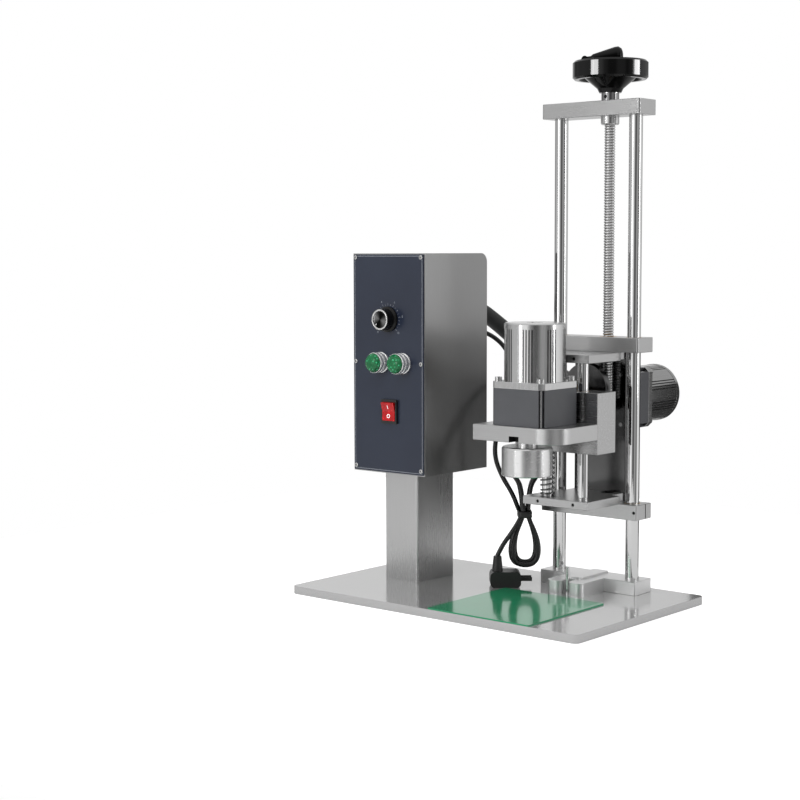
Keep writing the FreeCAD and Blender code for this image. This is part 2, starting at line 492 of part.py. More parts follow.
def rod_plate(z0):
    """A T-shaped plate that holds the guide rods in front of the lift bars."""
    outline = [(ROD_PLATE_X0, ROD_PLATE_Y0), (ROD_PLATE_X1, ROD_PLATE_Y0), (ROD_PLATE_X1, ROD_PLATE_Y1),
               (TONGUE_X1, ROD_PLATE_Y1), (TONGUE_X1, BACK_Y0), (TONGUE_X0, BACK_Y0), (TONGUE_X0, ROD_PLATE_Y1),
               (ROD_PLATE_X0, ROD_PLATE_Y1)]
    plate = eased(prism(outline, z0, z0 + ROD_PLATE_T))
    holes = [rod((x, ROD_Y, z0), ROD_R + SEAT, ROD_PLATE_T, Z) for x in RODS]
    holes += [rod((x, ROD_PLATE_Y0, z0 + ROD_PLATE_T / 2), GRUB_R, ROD_Y - ROD_PLATE_Y0, Y) for x in RODS]
    half = SCREW_R + SCREW_WAY
    holes.append(rod((SCREW_X, COLUMN_Y, z0), half, ROD_PLATE_T, Z))
    holes.append(box(SCREW_X - half, SCREW_X + half, COLUMN_Y, BACK_Y0, z0, z0 + ROD_PLATE_T))
    return drilled(plate, holes)


def rod_frame():
    top_z0 = UPPER_BAR_Z0 - ROD_PLATE_T
    save("rod_top_plate", rod_plate(top_z0))
    save("rod_bottom_plate", rod_plate(LOWER_BAR_Z1))
    save("guide_rods", *[rod((x, ROD_Y, LOWER_BAR_Z1), ROD_R, UPPER_BAR_Z0 - LOWER_BAR_Z1, Z) for x in RODS])
    screws = []
    reach = ROD_Y - ROD_R - ROD_PLATE_Y0 - GRUB_SINK
    for z in (top_z0 + ROD_PLATE_T / 2, LOWER_BAR_Z1 + ROD_PLATE_T / 2):
        screws += [rod((x, ROD_PLATE_Y0 + GRUB_SINK, z), GRUB_R, reach, Y) for x in RODS]
    middle = (LOWER_BAR_Z0 + LOWER_BAR_Z1) / 2
    screws.append(rod((CLAMP_X, COLUMN_Y - LIFT_BAR_D / 2 + GRUB_SINK, middle), CLAMP_SCREW_R,
                      LIFT_BAR_D - 6 - GRUB_SINK, Y))
    save("lift_screws", *screws)


def return_spring():
    """Compression spring on the left guide rod, under the sliding block."""
    z0 = LOWER_BAR_Z1 + ROD_PLATE_T
    wire = SPRING_WIRE / 2
    height = BLOCK_Z0 - z0 - SPRING_WIRE
    helix = Part.makeHelix(SPRING_PITCH, height, SPRING_R)
    section = [vec((SPRING_R + wire * math.cos(math.pi / 4 * i), 0, wire * math.sin(math.pi / 4 * i)))
               for i in range(8)]
    ring = Part.makePolygon(section + section[:1])
    spring = Part.Wire(helix).makePipeShell([ring], True, True)
    save("return_spring", moved(spring, (RODS[0], ROD_Y, z0 + wire)))


# Gear motors, drawn upright on their mounting face and then set in place

def frame_outline(z0, length):
    half = FRAME / 2
    return box(-half, half, -half, half, z0, z0 + length).common(rod((0, 0, z0), FRAME_CORNER_R, length, Z))


def long_screw_places():
    half = SCREW_PCD / 2 / math.sqrt(2)
    return [(sx * half, sy * half) for sx in (-1, 1) for sy in (-1, 1)]


def gearhead():
    """Square gearhead with a boss round its shaft and an open slot at each corner for a long screw."""
    body = eased(frame_outline(0, GEARHEAD_L))
    for angle in (45, 135, 225, 315):
        slot = box(SCREW_PCD / 2 - SCREW_SLOT / 2, FRAME_CORNER_R + 1, -SCREW_SLOT / 2, SCREW_SLOT / 2,
                   0, GEARHEAD_L)
        body = body.cut(moved(slot, (0, 0, 0), Z, angle))
    body = body.fuse(rod((0, -SHAFT_OFFSET, -BOSS_L), BOSS_R, BOSS_L, Z))
    return body.cut(rod((0, -SHAFT_OFFSET, -BOSS_L), SHAFT_R + FIT, BOSS_L + SHAFT_IN, Z))


def motor():
    """Motor with its square flange, grooved round body and turned end cap."""
    z0 = GEARHEAD_L
    flange = eased(frame_outline(z0, FLANGE_L))
    holes = [rod((x, y, z0), LONG_SCREW_R + 0.2, FLANGE_L, Z) for x, y in long_screw_places()]
    body_z = z0 + FLANGE_L
    body = rod((0, 0, body_z), MOTOR_R, MOTOR_L, Z)
    groove = box(MOTOR_R - GROOVE_D, MOTOR_R + 1, -GROOVE_W / 2, GROOVE_W / 2, body_z, body_z + MOTOR_L)
    for corner in (45, 135, 225, 315):
        for step in GROOVE_ANGLES:
            for side in (-1, 1):
                body = body.cut(moved(groove, (0, 0, 0), Z, corner + side * step))
    top = body_z + MOTOR_L
    cap = turned([(0, top), (MOTOR_R + 0.5, top), (MOTOR_R + 0.5, top + CAP_L - 2), (MOTOR_R - 1.5, top + CAP_L),
                  (12, top + CAP_L), (10, top + CAP_L - 1.5), (0, top + CAP_L - 1.5)])
    return drilled(flange, holes).fuse(body).fuse(cap)


def long_screws(into):
    """The four screws that hold a motor and gearhead to a plate of a given thickness."""
    top = GEARHEAD_L + FLANGE_L
    screws = []
    for x, y in long_screw_places():
        head = rod((x, y, top), LONG_SCREW_HEAD_R, LONG_SCREW_HEAD, Z)
        head = head.cut(rod((x, y, top + LONG_SCREW_HEAD - 3), 2.4, 3, Z))
        screws.append(head.fuse(rod((x, y, -into), LONG_SCREW_R, top + into, Z)))
    return screws


def in_front(shape):
    """Upright, shaft down, on the motor plate."""
    return moved(shape, (COLUMN_X, CAP_MOTOR_Y, PLATE_TOP))


def behind(shape):
    """Lying, shaft forward, on the back plate, with the shaft above the motor's axis."""
    return moved(shape, (COLUMN_X, BACK_Y1, PRESS_Z), X, -90)


def gear_motors():
    head, engine = gearhead(), motor()
    save("cap_gearbox", in_front(head))
    save("cap_motor", in_front(engine))
    save("cap_gearbox_screws", *[in_front(s) for s in long_screws(PLATE_T)])
    save("press_gearbox", behind(head))
    port = CONDUIT[-1]
    gland = rod(port, GLAND_R, 12, X).fuse(rod(port, GLAND_R - 4, COLUMN_X - MOTOR_R - port[0] + 4, X))
    save("press_motor", behind(engine))
    save("press_gearbox_screws", *[behind(s) for s in long_screws(BACK_T)])
    save("press_motor_gland", gland.cut(behind(engine)))


# Head

def block_screws():
    return [(x, PLATE_Z0 + PLATE_T / 2) for x in (BLOCK_X0 + 14, BLOCK_X1 - 14)]


def sliding_head():
    block = box(BLOCK_X0, BLOCK_X1, BLOCK_Y0, BLOCK_Y1, BLOCK_Z0, BLOCK_Z1)
    block = block.makeChamfer(EDGE_BREAK, block.Edges)
    height = BLOCK_Z1 - BLOCK_Z0
    rod_bush_r = ROD_R + BUSH_WALL
    holes = [rod((x, ROD_Y, BLOCK_Z0), rod_bush_r + SEAT, height, Z) for x in RODS]
    for x, z in block_screws():
        holes.append(rod((x, BLOCK_Y0, z), BOLT_R, BLOCK_Y1 - BLOCK_Y0, Y))
        holes.append(rod((x, BLOCK_Y1 - 9, z), BOLT_HEAD_R - 1, 9, Y))
    save("sliding_block", drilled(block, holes))
    save("rod_bushes", *[tube((x, ROD_Y, BLOCK_Z0), rod_bush_r, ROD_R + FIT, height, Z) for x in RODS])
    top = CRANK_Z - ROLLER_R - ROLLER_CLEAR
    follower = box(FOLLOWER_X0, FOLLOWER_X1, BLOCK_Y1, BLOCK_Y1 + FOLLOWER_D, top - FOLLOWER_T, top)
    save("follower_bar", rounded(follower, 2.0, X, lambda p: p.y > BLOCK_Y1 + 1))
    screws = []
    for x, z in block_screws():
        head = rod((x, BLOCK_Y1 - 9, z), BOLT_HEAD_R - 1.5, 8, Y)
        screws.append(head.fuse(rod((x, BLOCK_Y0 - 20, z), BOLT_R, BLOCK_Y1 - 9 - BLOCK_Y0 + 20, Y)))
    save("motor_plate_screws", *screws)


def motor_plate():
    plate = box(BLOCK_X0, BLOCK_X1, PLATE_Y0, BLOCK_Y0, PLATE_Z0, PLATE_TOP)
    plate = eased(rounded(plate, PLATE_CORNER_R, Z, lambda p: p.x > BLOCK_X1 - 1 and p.y < PLATE_Y0 + 1))
    notch = box(NOTCH_X - NOTCH_W / 2, NOTCH_X + NOTCH_W / 2, PLATE_Y0, PLATE_Y0 + NOTCH_D,
                PLATE_Z0, PLATE_Z0 + NOTCH_H)
    holes = [notch, rod((COLUMN_X, CHUCK_Y, PLATE_Z0), BOSS_R + SEAT, PLATE_T, Z)]
    holes += [rod((COLUMN_X + x, CAP_MOTOR_Y + y, PLATE_Z0), LONG_SCREW_R, PLATE_T, Z)
              for x, y in long_screw_places()]
    holes += [rod((x, BLOCK_Y0 - 20, z), BOLT_R, 20, Y) for x, z in block_screws()]
    save("motor_plate", drilled(plate, holes))


def chuck():
    """Bell that grips the cap: a turned body on the gearhead's shaft, lined with a rubber cone."""
    top = CHUCK_Z0 + CHUCK_H
    cavity_top = CHUCK_Z0 + LINER_H
    shaft_top = PLATE_TOP + SHAFT_IN - GAP - 2
    place = (COLUMN_X, CHUCK_Y, 0)
    body = turned([(LINER_R + 1, CHUCK_Z0), (CHUCK_R - 1, CHUCK_Z0), (CHUCK_R, CHUCK_Z0 + 1), (CHUCK_R, top - 3),
                   (CHUCK_R - 1, top - 1), (CHUCK_R - 3, top), (NECK_R, top), (NECK_R, PLATE_Z0 - 1),
                   (SHAFT_R, PLATE_Z0 - 1), (SHAFT_R, shaft_top), (0, shaft_top), (0, cavity_top),
                   (LINER_R, cavity_top), (LINER_R, CHUCK_Z0 + 1)])
    save("chuck_body", moved(body, place))
    liner = turned([(MOUTH_R, CHUCK_Z0 + 2), (LINER_R, CHUCK_Z0 + 2), (LINER_R, cavity_top),
                    (THROAT_R, cavity_top)])
    save("chuck_liner", moved(liner, place))


# Crank on the press motor

def crank():
    pin_x = COLUMN_X - CRANK_THROW
    disc = rod((COLUMN_X, CRANK_Y0, CRANK_Z), CRANK_R, CRANK_T, Y)
    disc = disc.makeChamfer(1.0, disc.Edges)
    hub_y = CRANK_Y0 + CRANK_T
    hub = rod((COLUMN_X, hub_y, CRANK_Z), CRANK_HUB_R, CRANK_HUB_L, Y)
    shaft = rod((COLUMN_X, hub_y, CRANK_Z), SHAFT_R, BACK_Y1 + SHAFT_IN - GAP - hub_y - 2, Y)
    pin = rod((pin_x, CRANK_Y0, CRANK_Z), CRANK_PIN_R, ROLLER_L + 2 * GAP, (0, -1, 0))
    head = rod((pin_x, CRANK_Y0 - ROLLER_L - 2 * GAP, CRANK_Z), CRANK_HEAD_R, CRANK_HEAD_T, (0, -1, 0))
    save("crank_disc", disc.fuse(hub).fuse(shaft).fuse(pin).fuse(head))
    roller = tube((pin_x, CRANK_Y0 - GAP, CRANK_Z), ROLLER_R, CRANK_PIN_R + FIT, ROLLER_L, (0, -1, 0))
    save("crank_roller", roller)


# Lead screw and handwheel

def lead_screw():
    flange_z = CROSSBAR_Z - BUSH_FLANGE_T
    bush = rod((SCREW_X, COLUMN_Y, flange_z), BUSH_FLANGE_R, BUSH_FLANGE_T, Z)
    bush = bush.makeChamfer(1.5, [e for e in bush.Edges if e.BoundBox.ZMax < flange_z + 0.1])
    bush = bush.fuse(rod((SCREW_X, COLUMN_Y, CROSSBAR_Z), BUSH_SLEEVE_R, CROSSBAR_T, Z))
    bore = rod((SCREW_X, COLUMN_Y, flange_z), JOURNAL_R + FIT, CROSSBAR_T + BUSH_FLANGE_T, Z)
    save("screw_bearing_bush", bush.cut(bore))
    thread_top = flange_z - GAP
    wheel_z = CROSSBAR_TOP + GAP + COLLAR_T
    profile = [(0, SCREW_END_Z), (SCREW_R - 2, SCREW_END_Z), (SCREW_R, SCREW_END_Z + 2), (SCREW_R, thread_top),
               (JOURNAL_R, thread_top), (JOURNAL_R, wheel_z + 30), (0, wheel_z + 30)]
    save("lead_screw", moved(turned(profile), (SCREW_X, COLUMN_Y, 0)))
    collar = tube((SCREW_X, COLUMN_Y, CROSSBAR_TOP + GAP), COLLAR_R, JOURNAL_R, COLLAR_T, Z)
    grub = rod((SCREW_X, COLUMN_Y, wheel_z - COLLAR_T / 2), GRUB_R, COLLAR_R + 1, (0, -1, 0))
    save("thrust_collar", collar.cut(grub))


def handwheel():
    """Dished handwheel with a cone hub below and two ears for its folding handle."""
    z0 = CROSSBAR_TOP + GAP + COLLAR_T
    rim0, rim1 = z0 + 19, z0 + WHEEL_H
    profile = [(JOURNAL_R, z0), (WHEEL_HUB_R - 1, z0), (WHEEL_HUB_R, z0 + 2), (WHEEL_HUB_R + 2, z0 + 6),
               (38, rim0 + 3), (44, rim0 + 3), (46, rim0), (WHEEL_R - 3, rim0), (WHEEL_R, rim0 + 3),
               (WHEEL_R, rim1 - 3), (WHEEL_R - 3, rim1), (WHEEL_R - WHEEL_RIM, rim1),
               (WHEEL_R - WHEEL_RIM - 3, rim1 - 3), (40, rim0 + 13), (22, rim0 + 10), (WHEEL_HUB_R, rim1 - 9),
               (WHEEL_HUB_R, rim1 - 6), (JOURNAL_R, rim1 - 6)]
    wheel = turned(profile).fuse(rod((0, 0, z0 + 30), JOURNAL_R, 10, Z))
    pivot_z = rim1 + 1.0
    width = EYE_W / 2 + GAP
    for side in (-1, 1):
        y0 = width if side > 0 else -width - EAR_T
        ear = rod((-HANDLE_PIVOT, y0, pivot_z), EAR_R, EAR_T, Y)
        foot = box(-HANDLE_PIVOT - EAR_R, -HANDLE_PIVOT + EAR_R, y0, y0 + EAR_T, rim0 + 11, pivot_z)
        wheel = wheel.fuse(ear).fuse(foot)
    wheel = wheel.fuse(rod((-HANDLE_PIVOT, -width - EAR_T, pivot_z), PIN_R, 2 * (width + EAR_T), Y))
    place = (SCREW_X, COLUMN_Y, 0)
    save("handwheel", moved(wheel, place, Z, HANDLE_TURN))
    grip = turned([(0, 4), (3.2, 4), (3.2, 9), (5, 12), (6.5, 22), (HANDLE_R, HANDLE_L - 10),
                   (HANDLE_R, HANDLE_L - 5), (HANDLE_R - 3, HANDLE_L - 1), (HANDLE_R - 6, HANDLE_L),
                   (0, HANDLE_L)])
    tilt = math.degrees(math.asin(HANDLE_RISE / HANDLE_L))
    grip = moved(grip, (-HANDLE_PIVOT, 0, pivot_z), Y, 90 - tilt)
    eye = rod((-HANDLE_PIVOT, -EYE_W / 2, pivot_z), EAR_R - 0.5, EYE_W, Y)
    handle = grip.fuse(eye).cut(rod((-HANDLE_PIVOT, -EYE_W, pivot_z), PIN_R + FIT, 2 * EYE_W, Y))
    save("folding_handle", moved(handle, place, Z, HANDLE_TURN))


# Cables

def cable_glands():
    glands = []
    for start, length, outer, inner in ((CONDUIT[0], GLAND_L, GLAND_R, CONDUIT_D / 2 - 2),
                                        (FEED[0], CORD_GLAND_L, CORD_GLAND_R, CORD_D / 2)):
        back = start[1] - length
        nut_l = length * 0.6
        nut = rod((start[0], back, start[2]), outer, nut_l, Y)
        neck = Part.makeCone(outer - 1, outer - 4, length - nut_l, vec((start[0], back + nut_l, start[2])), vec(Y))
        glands.append(nut.fuse(neck).cut(rod((start[0], back, start[2]), inner, length, Y)))
    save("cable_glands", *glands)


def hank():
    """The outer shape of the folded cord: an open lower loop, the tied waist, the runs and the upper fold."""
    def oval(half, z0, z1):
        middle = vec((0, -HANK_THICK / 2, (z0 + z1) / 2))
        top, side = middle + vec((0, 0, (z1 - z0) / 2)), middle + vec((half, 0, 0))
        ellipse = Part.Ellipse(top, side, middle)
        return Part.Face(Part.Wire(ellipse.toShape())).extrude(vec((0, HANK_THICK, 0)))
    lower = oval(HANK_HALF, HANK_Z0, HANK_WAIST_Z)
    lower = lower.cut(oval(HANK_HALF - HANK_BUNDLE, HANK_Z0 + HANK_BUNDLE, HANK_WAIST_Z - HANK_BUNDLE))
    fold_z0 = HANK_Z1 - 2 * HANK_HALF
    runs = box(-HANK_BUNDLE, HANK_BUNDLE, -HANK_THICK / 2, HANK_THICK / 2, HANK_WAIST_Z, fold_z0 + HANK_HALF)
    waist = box(-HANK_WAIST_HALF, HANK_WAIST_HALF, -HANK_WAIST_THICK / 2, HANK_WAIST_THICK / 2,
                HANK_WAIST_Z - HANK_WAIST_H / 2, HANK_WAIST_Z + HANK_WAIST_H / 2)
    solid = lower.fuse(runs).fuse(oval(HANK_HALF - 0.01, fold_z0, HANK_Z1)).fuse(waist)
    save("cord_hank", moved(solid, (HANK_X, HANK_Y, 0), Z, HANK_TURN))


def plug():
    """Moulded plug lying on the base, with the cord coming in from above."""
    half = PLUG_L / 2
    body = box(-half, half, -PLUG_W / 2, PLUG_W / 2, BASE_T, BASE_T + PLUG_H)
    body = rounded(body, 7.0, Y)
    neck_z = BASE_T + PLUG_H - 8
    neck = Part.makeCone(PLUG_NECK_R + 3, PLUG_NECK_R, PLUG_NECK_H + 8, vec((PLUG_ENTRY, 0, neck_z)), vec(Z))
    body = body.fuse(neck)
    middle = BASE_T + PLUG_H / 2
    for side in (-1, 1):
        y = side * PRONG_PITCH / 2
        prong = box(half, half + PRONG_L, y - PRONG_T / 2, y + PRONG_T / 2,
                    middle - PRONG_W / 2, middle + PRONG_W / 2)
        body = body.fuse(prong)
    save("power_plug", moved(body, (PLUG_X, PLUG_Y, 0), Z, HANK_TURN))


def cables():
    cable_glands()
    save("motor_conduit", swept(CONDUIT, CONDUIT_D, "motor_conduit"))
    save("power_cord_feed", swept(FEED, CORD_D, "power_cord_feed"))
    save("power_cord_tail", swept(TAIL, CORD_D, "power_cord_tail"))
    hank()
    plug()


os.makedirs("parts", exist_ok=True)
base_plate()
green_mat()
column_frame()
frame_screws()
locator()
post()
control_box()
front_panel()
speed_knob()
push_buttons()
rocker_switch()
inside_the_box()
lift_bars()
back_plate()
rod_frame()
return_spring()
gear_motors()
sliding_head()
motor_plate()
chuck()
crank()
lead_screw()
handwheel()
cables()
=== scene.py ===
import math
import bmesh
import bpy
from mathutils import Matrix, Vector


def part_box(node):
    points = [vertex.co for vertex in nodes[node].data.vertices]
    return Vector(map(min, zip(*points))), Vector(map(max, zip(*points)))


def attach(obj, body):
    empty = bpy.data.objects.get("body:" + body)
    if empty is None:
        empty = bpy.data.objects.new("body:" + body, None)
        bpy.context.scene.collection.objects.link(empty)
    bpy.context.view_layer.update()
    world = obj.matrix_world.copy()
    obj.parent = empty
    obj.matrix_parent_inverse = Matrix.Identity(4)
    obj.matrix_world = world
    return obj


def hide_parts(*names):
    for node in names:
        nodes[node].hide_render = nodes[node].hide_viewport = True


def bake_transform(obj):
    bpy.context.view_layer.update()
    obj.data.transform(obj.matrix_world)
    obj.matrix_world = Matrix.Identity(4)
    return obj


# Bottle capping machine. Metres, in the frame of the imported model: +X right, +Y back, +Z up.
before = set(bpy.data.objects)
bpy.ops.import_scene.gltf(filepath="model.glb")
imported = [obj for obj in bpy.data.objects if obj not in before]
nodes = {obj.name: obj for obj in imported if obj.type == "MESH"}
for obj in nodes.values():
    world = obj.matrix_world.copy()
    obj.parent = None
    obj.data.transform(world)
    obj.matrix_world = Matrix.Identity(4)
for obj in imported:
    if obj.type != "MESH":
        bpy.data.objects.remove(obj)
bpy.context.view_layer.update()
MM = 0.001

# Photograph's camera: its place, its angles in degrees, and its lens and sensor in millimetres
CAMERA_PLACE = Vector((1.478, -1.955, 0.514))
CAMERA_TURN, CAMERA_DROP, CAMERA_ROLL = 40.36, 5.07, -0.16
CAMERA_LENS, CAMERA_SENSOR, CAMERA_REACH = 75.06, 36, 100
CAMERA_SIDE = Vector((math.sin(math.radians(CAMERA_TURN)), -math.cos(math.radians(CAMERA_TURN)), 0))
CAMERA_RIGHT = Vector((math.cos(math.radians(CAMERA_TURN)), math.sin(math.radians(CAMERA_TURN)), 0))

# Cords: the diameters, and the routes' control points in millimetres
CONDUIT_D, CORD_D = 26 * MM, 7 * MM
CONDUIT_SIDES = 36
CONDUIT = [(-172, 107, 430), (-172, 168, 430), (-154, 216, 396), (-118, 240, 356), (-72, 252, 322),
           (-20, 262, 292), (32, 262, 292)]
FEED = [(-140, 101, 394), (-139, 140, 393), (-112, 166, 372), (-76, 150, 338), (-54, 112, 308),
        (-42, 78, 276), (-34, 50, 243), (-31, 39, 208), (-22, 47, 176), (-10, 58, 150), (-4, 66, 124)]
TAIL = [(10, 56, 121), (5, 48.5, 105), (-3, 41.5, 89), (-12, 34, 73), (-17, 29.5, 58)]

# Folded part of the power cord, in millimetres: the depth between turns and of the first one, the points of
# half a loop as (half width, height) from the bottom up, and how many of them lie below the waist. Each turn
# has its own share of the width and its own lift.
HANK_PLACE, HANK_TURN = Vector((8, 66, 0)) * MM, math.radians(40.4)
HANK_TURNS, HANK_LAYER, HANK_BACK = 3, 7.3, 11.0
HANK_SIDE = [(9, 40.3), (18.6, 47), (21.8, 61), (19.8, 78), (13.8, 94), (7.4, 108), (4.4, 117),
             (4.3, 127), (5.4, 141), (7.4, 156), (10.5, 169), (18.5, 179), (22, 191), (16.5, 203.5),
             (6, 208.6)]
HANK_WAIST = 7
LOOP_WIDTH, LOOP_LIFT = (1.0, 0.74, 0.88), (0.0, 6.0, 2.0)

# Tie round the waist: half width and depth, corner radius, shift and sheet in millimetres, and its profile
# of (swell, height)
TIE_HALF_X, TIE_HALF_Y, TIE_CORNER, TIE_SHIFT, TIE_SHEET = 10.2, 16.2, 6.0, -1.2, 0.9
TIE_CORNER_STEPS = 8
TIE_PROFILE = [(-0.6, 115.5), (0.3, 116.2), (0.5, 118), (0.2, 120), (0.5, 122), (0.3, 124.8), (-0.6, 125.5)]

# Folding grip: how much taller and wider it is than its core
GRIP_RISE, GRIP_SWELL = 1.22, 1.08

# The two motors: outer radius, the lengths of flange and end cap, and where the painted shade in a groove
# starts
MOTOR_R, MOTOR_FLANGE, MOTOR_CAP = 43.5 * MM, 10.5 * MM, 9 * MM
GROOVE_SHADE_START, GROOVE_SHADE_BLEND = 0.35 * MM, 0.3 * MM

# Cable notch under the front of the motor plate, filled with painted shade
NOTCH_PLACE, NOTCH_HALF, NOTCH_TALL, NOTCH_DEEP = 97.8 * MM, 8.5 * MM, 9 * MM, 14 * MM
NOTCH_MARGIN, NOTCH_START = 0.05 * MM, 0.4 * MM

# Lead screw, and the return spring with its closed coils at each end
LEAD, THREAD_ROOT, THREAD_STEPS = 4 * MM, 6.7 * MM, 20
THREAD_GAP, SCREW_NECK, SCREW_SIDES = 0.3 * MM, 7 * MM, 40
SPRING_R, SPRING_WIRE, SPRING_COILS, SPRING_CLOSED = 9.8 * MM, 2.5 * MM, 10.5, 1.1
SPRING_STEPS, SPRING_SIDES = 24, 12

# Panel: turned bezels as (radius, distance out of the panel) and knob cap as (radius, distance behind its
# face), in millimetres, and the painted highlight inside the panel's edge: a pale line for its chamfer
BEZEL_PROFILE = [(15.6, 0), (15.6, 1.5), (15.2, 1.9), (14.5, 2.1), (14.5, 4.4), (15.3, 4.8), (15.4, 5.2),
                 (15.4, 9.2), (15.2, 9.6), (14.4, 9.9), (14.4, 11.9), (15.3, 12.3), (15.5, 12.7),
                 (15.5, 16.8), (15.2, 17.6), (14.8, 18.0), (14.3, 17.8), (14.15, 17.0), (14.15, 8.0)]
CAP_PROFILE = [(0.0, 1.45), (8.5, 1.42), (11.6, 1.3), (12.6, 0.9), (13.4, -0.25), (14.4, -0.32), (15.2, 0.1),
               (15.5, 0.9)]
BEZEL_STEPS, CAP_STEPS, CAP_RIM = 72, 64, 12.9 * MM
CHAMFER_HIGHLIGHT_START, CHAMFER_HIGHLIGHT_END = 2.2 * MM, 2.9 * MM

# Dial round the speed knob: angles in degrees, gap, long and short ticks, and the numbers
DIAL_START, DIAL_SWEEP, DIAL_TICKS = -135, 270, 20
TICK_GAP, TICK_LONG, TICK_SHORT, TICK_WIDE = 1.8 * MM, 3.6 * MM, 2.0 * MM, 0.5 * MM
NUMBER_TALL, NUMBER_OUT, NUMBER_PROUD = 4.4 * MM, 9.2 * MM, 0.1 * MM
POINTER_START, POINTER_END, POINTER_WIDE, POINTER_BACK = 9 * MM, 12.2 * MM, 0.9 * MM, 1.25 * MM

# Signs on the rocker in millimetres, and the painted shade of the panel screws' cross recesses
RING_IN, RING_OUT, RING_STEPS, BAR_HALF, BAR_TALL = 2.1, 3.1, 28, 0.6, 2.8
OFF_BELOW, ON_ABOVE, SIGN_PROUD = 6.8 * MM, 6.6 * MM, 0.08 * MM
SCREW_HEAD, SCREW_MIDDLE_Z, RECESS_HALF, RECESS_WIDE = 3.4 * MM, 349 * MM, 1.9 * MM, 0.75 * MM
RECESS_TURN, MARK_PROUD, RECESS_PROUD = 0.5, 0.12 * MM, 0.03 * MM

# Light. Brightness of the room by bearing from the camera in degrees, counted to the right.
ROOM = [(-180, 0.84), (-160, 0.76), (-149, 0.5), (-139, 0.12), (-129, 0.35), (-115, 0.42), (-92, 0.62),
        (-70, 0.58), (-55, 1.1), (-37, 1.15), (-22, 0.36), (-9, 0.11), (5, 0.12), (19, 0.42), (33, 0.4),
        (45, 0.13), (58, 0.35), (72, 1.05), (90, 0.96), (106, 0.8), (122, 0.55), (136, 0.4), (143, 0.12),
        (151, 0.5), (180, 0.84)]
CEILING, CEILING_SLOPE, CEILING_START = 0.8, 1.6, 0.25
FLOOR_HALF, FLOOR_DROP = 1.0, 0.5 * MM
FLOOR_GREY, FLOOR_MIRRORED, FLOOR_LIFT = (0.62, 0.62, 0.62, 1.0), (0.46, 0.46, 0.46, 1.0), 0.2

# Lamps: bearing in degrees, distance and height, width and length in metres, power in watts, and whether
# reflections show the lamp
LAMP_AIM = Vector((0, 0.05, 0.4))
LAMPS = [("key_lamp", -50, 2.3, 1.0, 0.9, 1.5, 46, False),
         ("side_lamp", 80, 2.3, 0.9, 0.5, 1.5, 22, False),
         ("top_lamp", -20, 1.4, 2.4, 1.6, 1.6, 26, False),
         ("left_strip", -58, 2.3, 0.75, 0.15, 1.3, 3.6, True),
         ("right_strip", 68, 2.3, 0.75, 0.13, 1.3, 3.6, True)]
WHEEL_LAMPS = [("wheel_left_lamp", -54, 2.3, 0.75, 1.0, 1.2, 118, True),
               ("wheel_right_lamp", 81, 2.3, 0.75, 0.8, 1.2, 95, True)]

# Cards that only reflections see, one above the other, in metres: bottom, top and brightness
CARD_BEARING, CARD_DISTANCE, CARD_LEFT, CARD_RIGHT = 99.3, 0.45, -0.42, -0.03
CARDS = [("foot_grey", -0.01, 0.05, 0.22), ("low_dark", 0.05, 0.36, 0.04), ("high_grey", 0.36, 0.8, 0.5)]


# Shaders

def linear(level):
    """A display level from 0 to 255 as the linear value that a shader takes."""
    part = level / 255
    return part / 12.92 if part <= 0.04045 else ((part + 0.055) / 1.055) ** 2.4


def tint(red, green=None, blue=None):
    """A colour from display levels; one level gives a grey."""
    levels = (red, red if green is None else green, red if blue is None else blue)
    return tuple(linear(level) for level in levels) + (1.0,)


class Value:
    """A shader socket that Python's operators work on. Each operation adds one Math node."""

    def __init__(self, owner, socket):
        self.owner = owner
        self.socket = socket

    def math(self, operation, first, second=0.0, clamp=False):
        settings = {"operation": operation, "use_clamp": clamp}
        return self.owner.node("ShaderNodeMath", settings, {0: first, 1: second})

    def __add__(self, other):
        return self.math("ADD", self, other)

    __radd__ = __add__

    def __sub__(self, other):
        return self.math("SUBTRACT", self, other)

    def __rsub__(self, other):
        return self.math("SUBTRACT", other, self)

    def __mul__(self, other):
        return self.math("MULTIPLY", self, other)

    __rmul__ = __mul__

    def __truediv__(self, other):
        return self.math("DIVIDE", self, other)

    def __pow__(self, other):
        return self.math("POWER", self, other)

    def __gt__(self, other):
        return self.math("GREATER_THAN", self, other)

    def __lt__(self, other):
        return self.math("LESS_THAN", self, other)

    def size(self):
        return self.math("ABSOLUTE", self)

    def sine(self):
        return self.math("SINE", self)

    def within(self):
        return self.math("ADD", self, 0.0, clamp=True)


class Nodes:
    """A node tree, emptied, and the coordinates that its patterns lie in."""

    def __init__(self, tree, coordinates):
        self.tree = tree
        self.tree.nodes.clear()
        self.place = self.node("ShaderNodeTexCoord", output=coordinates)

    def node(self, kind, settings=None, inputs=None, output=0):
        """Adds a node: its settings first, then the values or links of its sockets."""
        made = self.tree.nodes.new(kind)
        for name, value in (settings or {}).items():
            if name == "stops":
                self.stops(made.color_ramp, value)
            else:
                setattr(made, name, value)
        for key, value in (inputs or {}).items():
            self.feed(made.inputs[key], value)
        return Value(self, made.outputs[output])

    def stops(self, ramp, stops):
        ramp.interpolation = "EASE"
        while len(ramp.elements) < len(stops):
            ramp.elements.new(1.0)
        for element, (place, level) in zip(ramp.elements, stops):
            element.position = place
            element.color = (level, level, level, 1.0)

    def feed(self, socket, value):
        if isinstance(value, Value):
            self.tree.links.new(value.socket, socket)
        else:
            socket.default_value = value

    def axis(self, letter):
        return self.node("ShaderNodeSeparateXYZ", {}, {0: self.place}, output=letter)

    def noise(self, scale, stretch=(1, 1, 1), detail=2.0):
        spot = self.node("ShaderNodeVectorMath", {"operation": "MULTIPLY"}, {0: self.place, 1: stretch})
        return self.node("ShaderNodeTexNoise", {}, {"Vector": spot, "Scale": scale, "Detail": detail})

    def blend(self, factor, low, high):
        return self.node("ShaderNodeMix", {"data_type": "RGBA"}, {0: factor, 6: low, 7: high}, output=2)


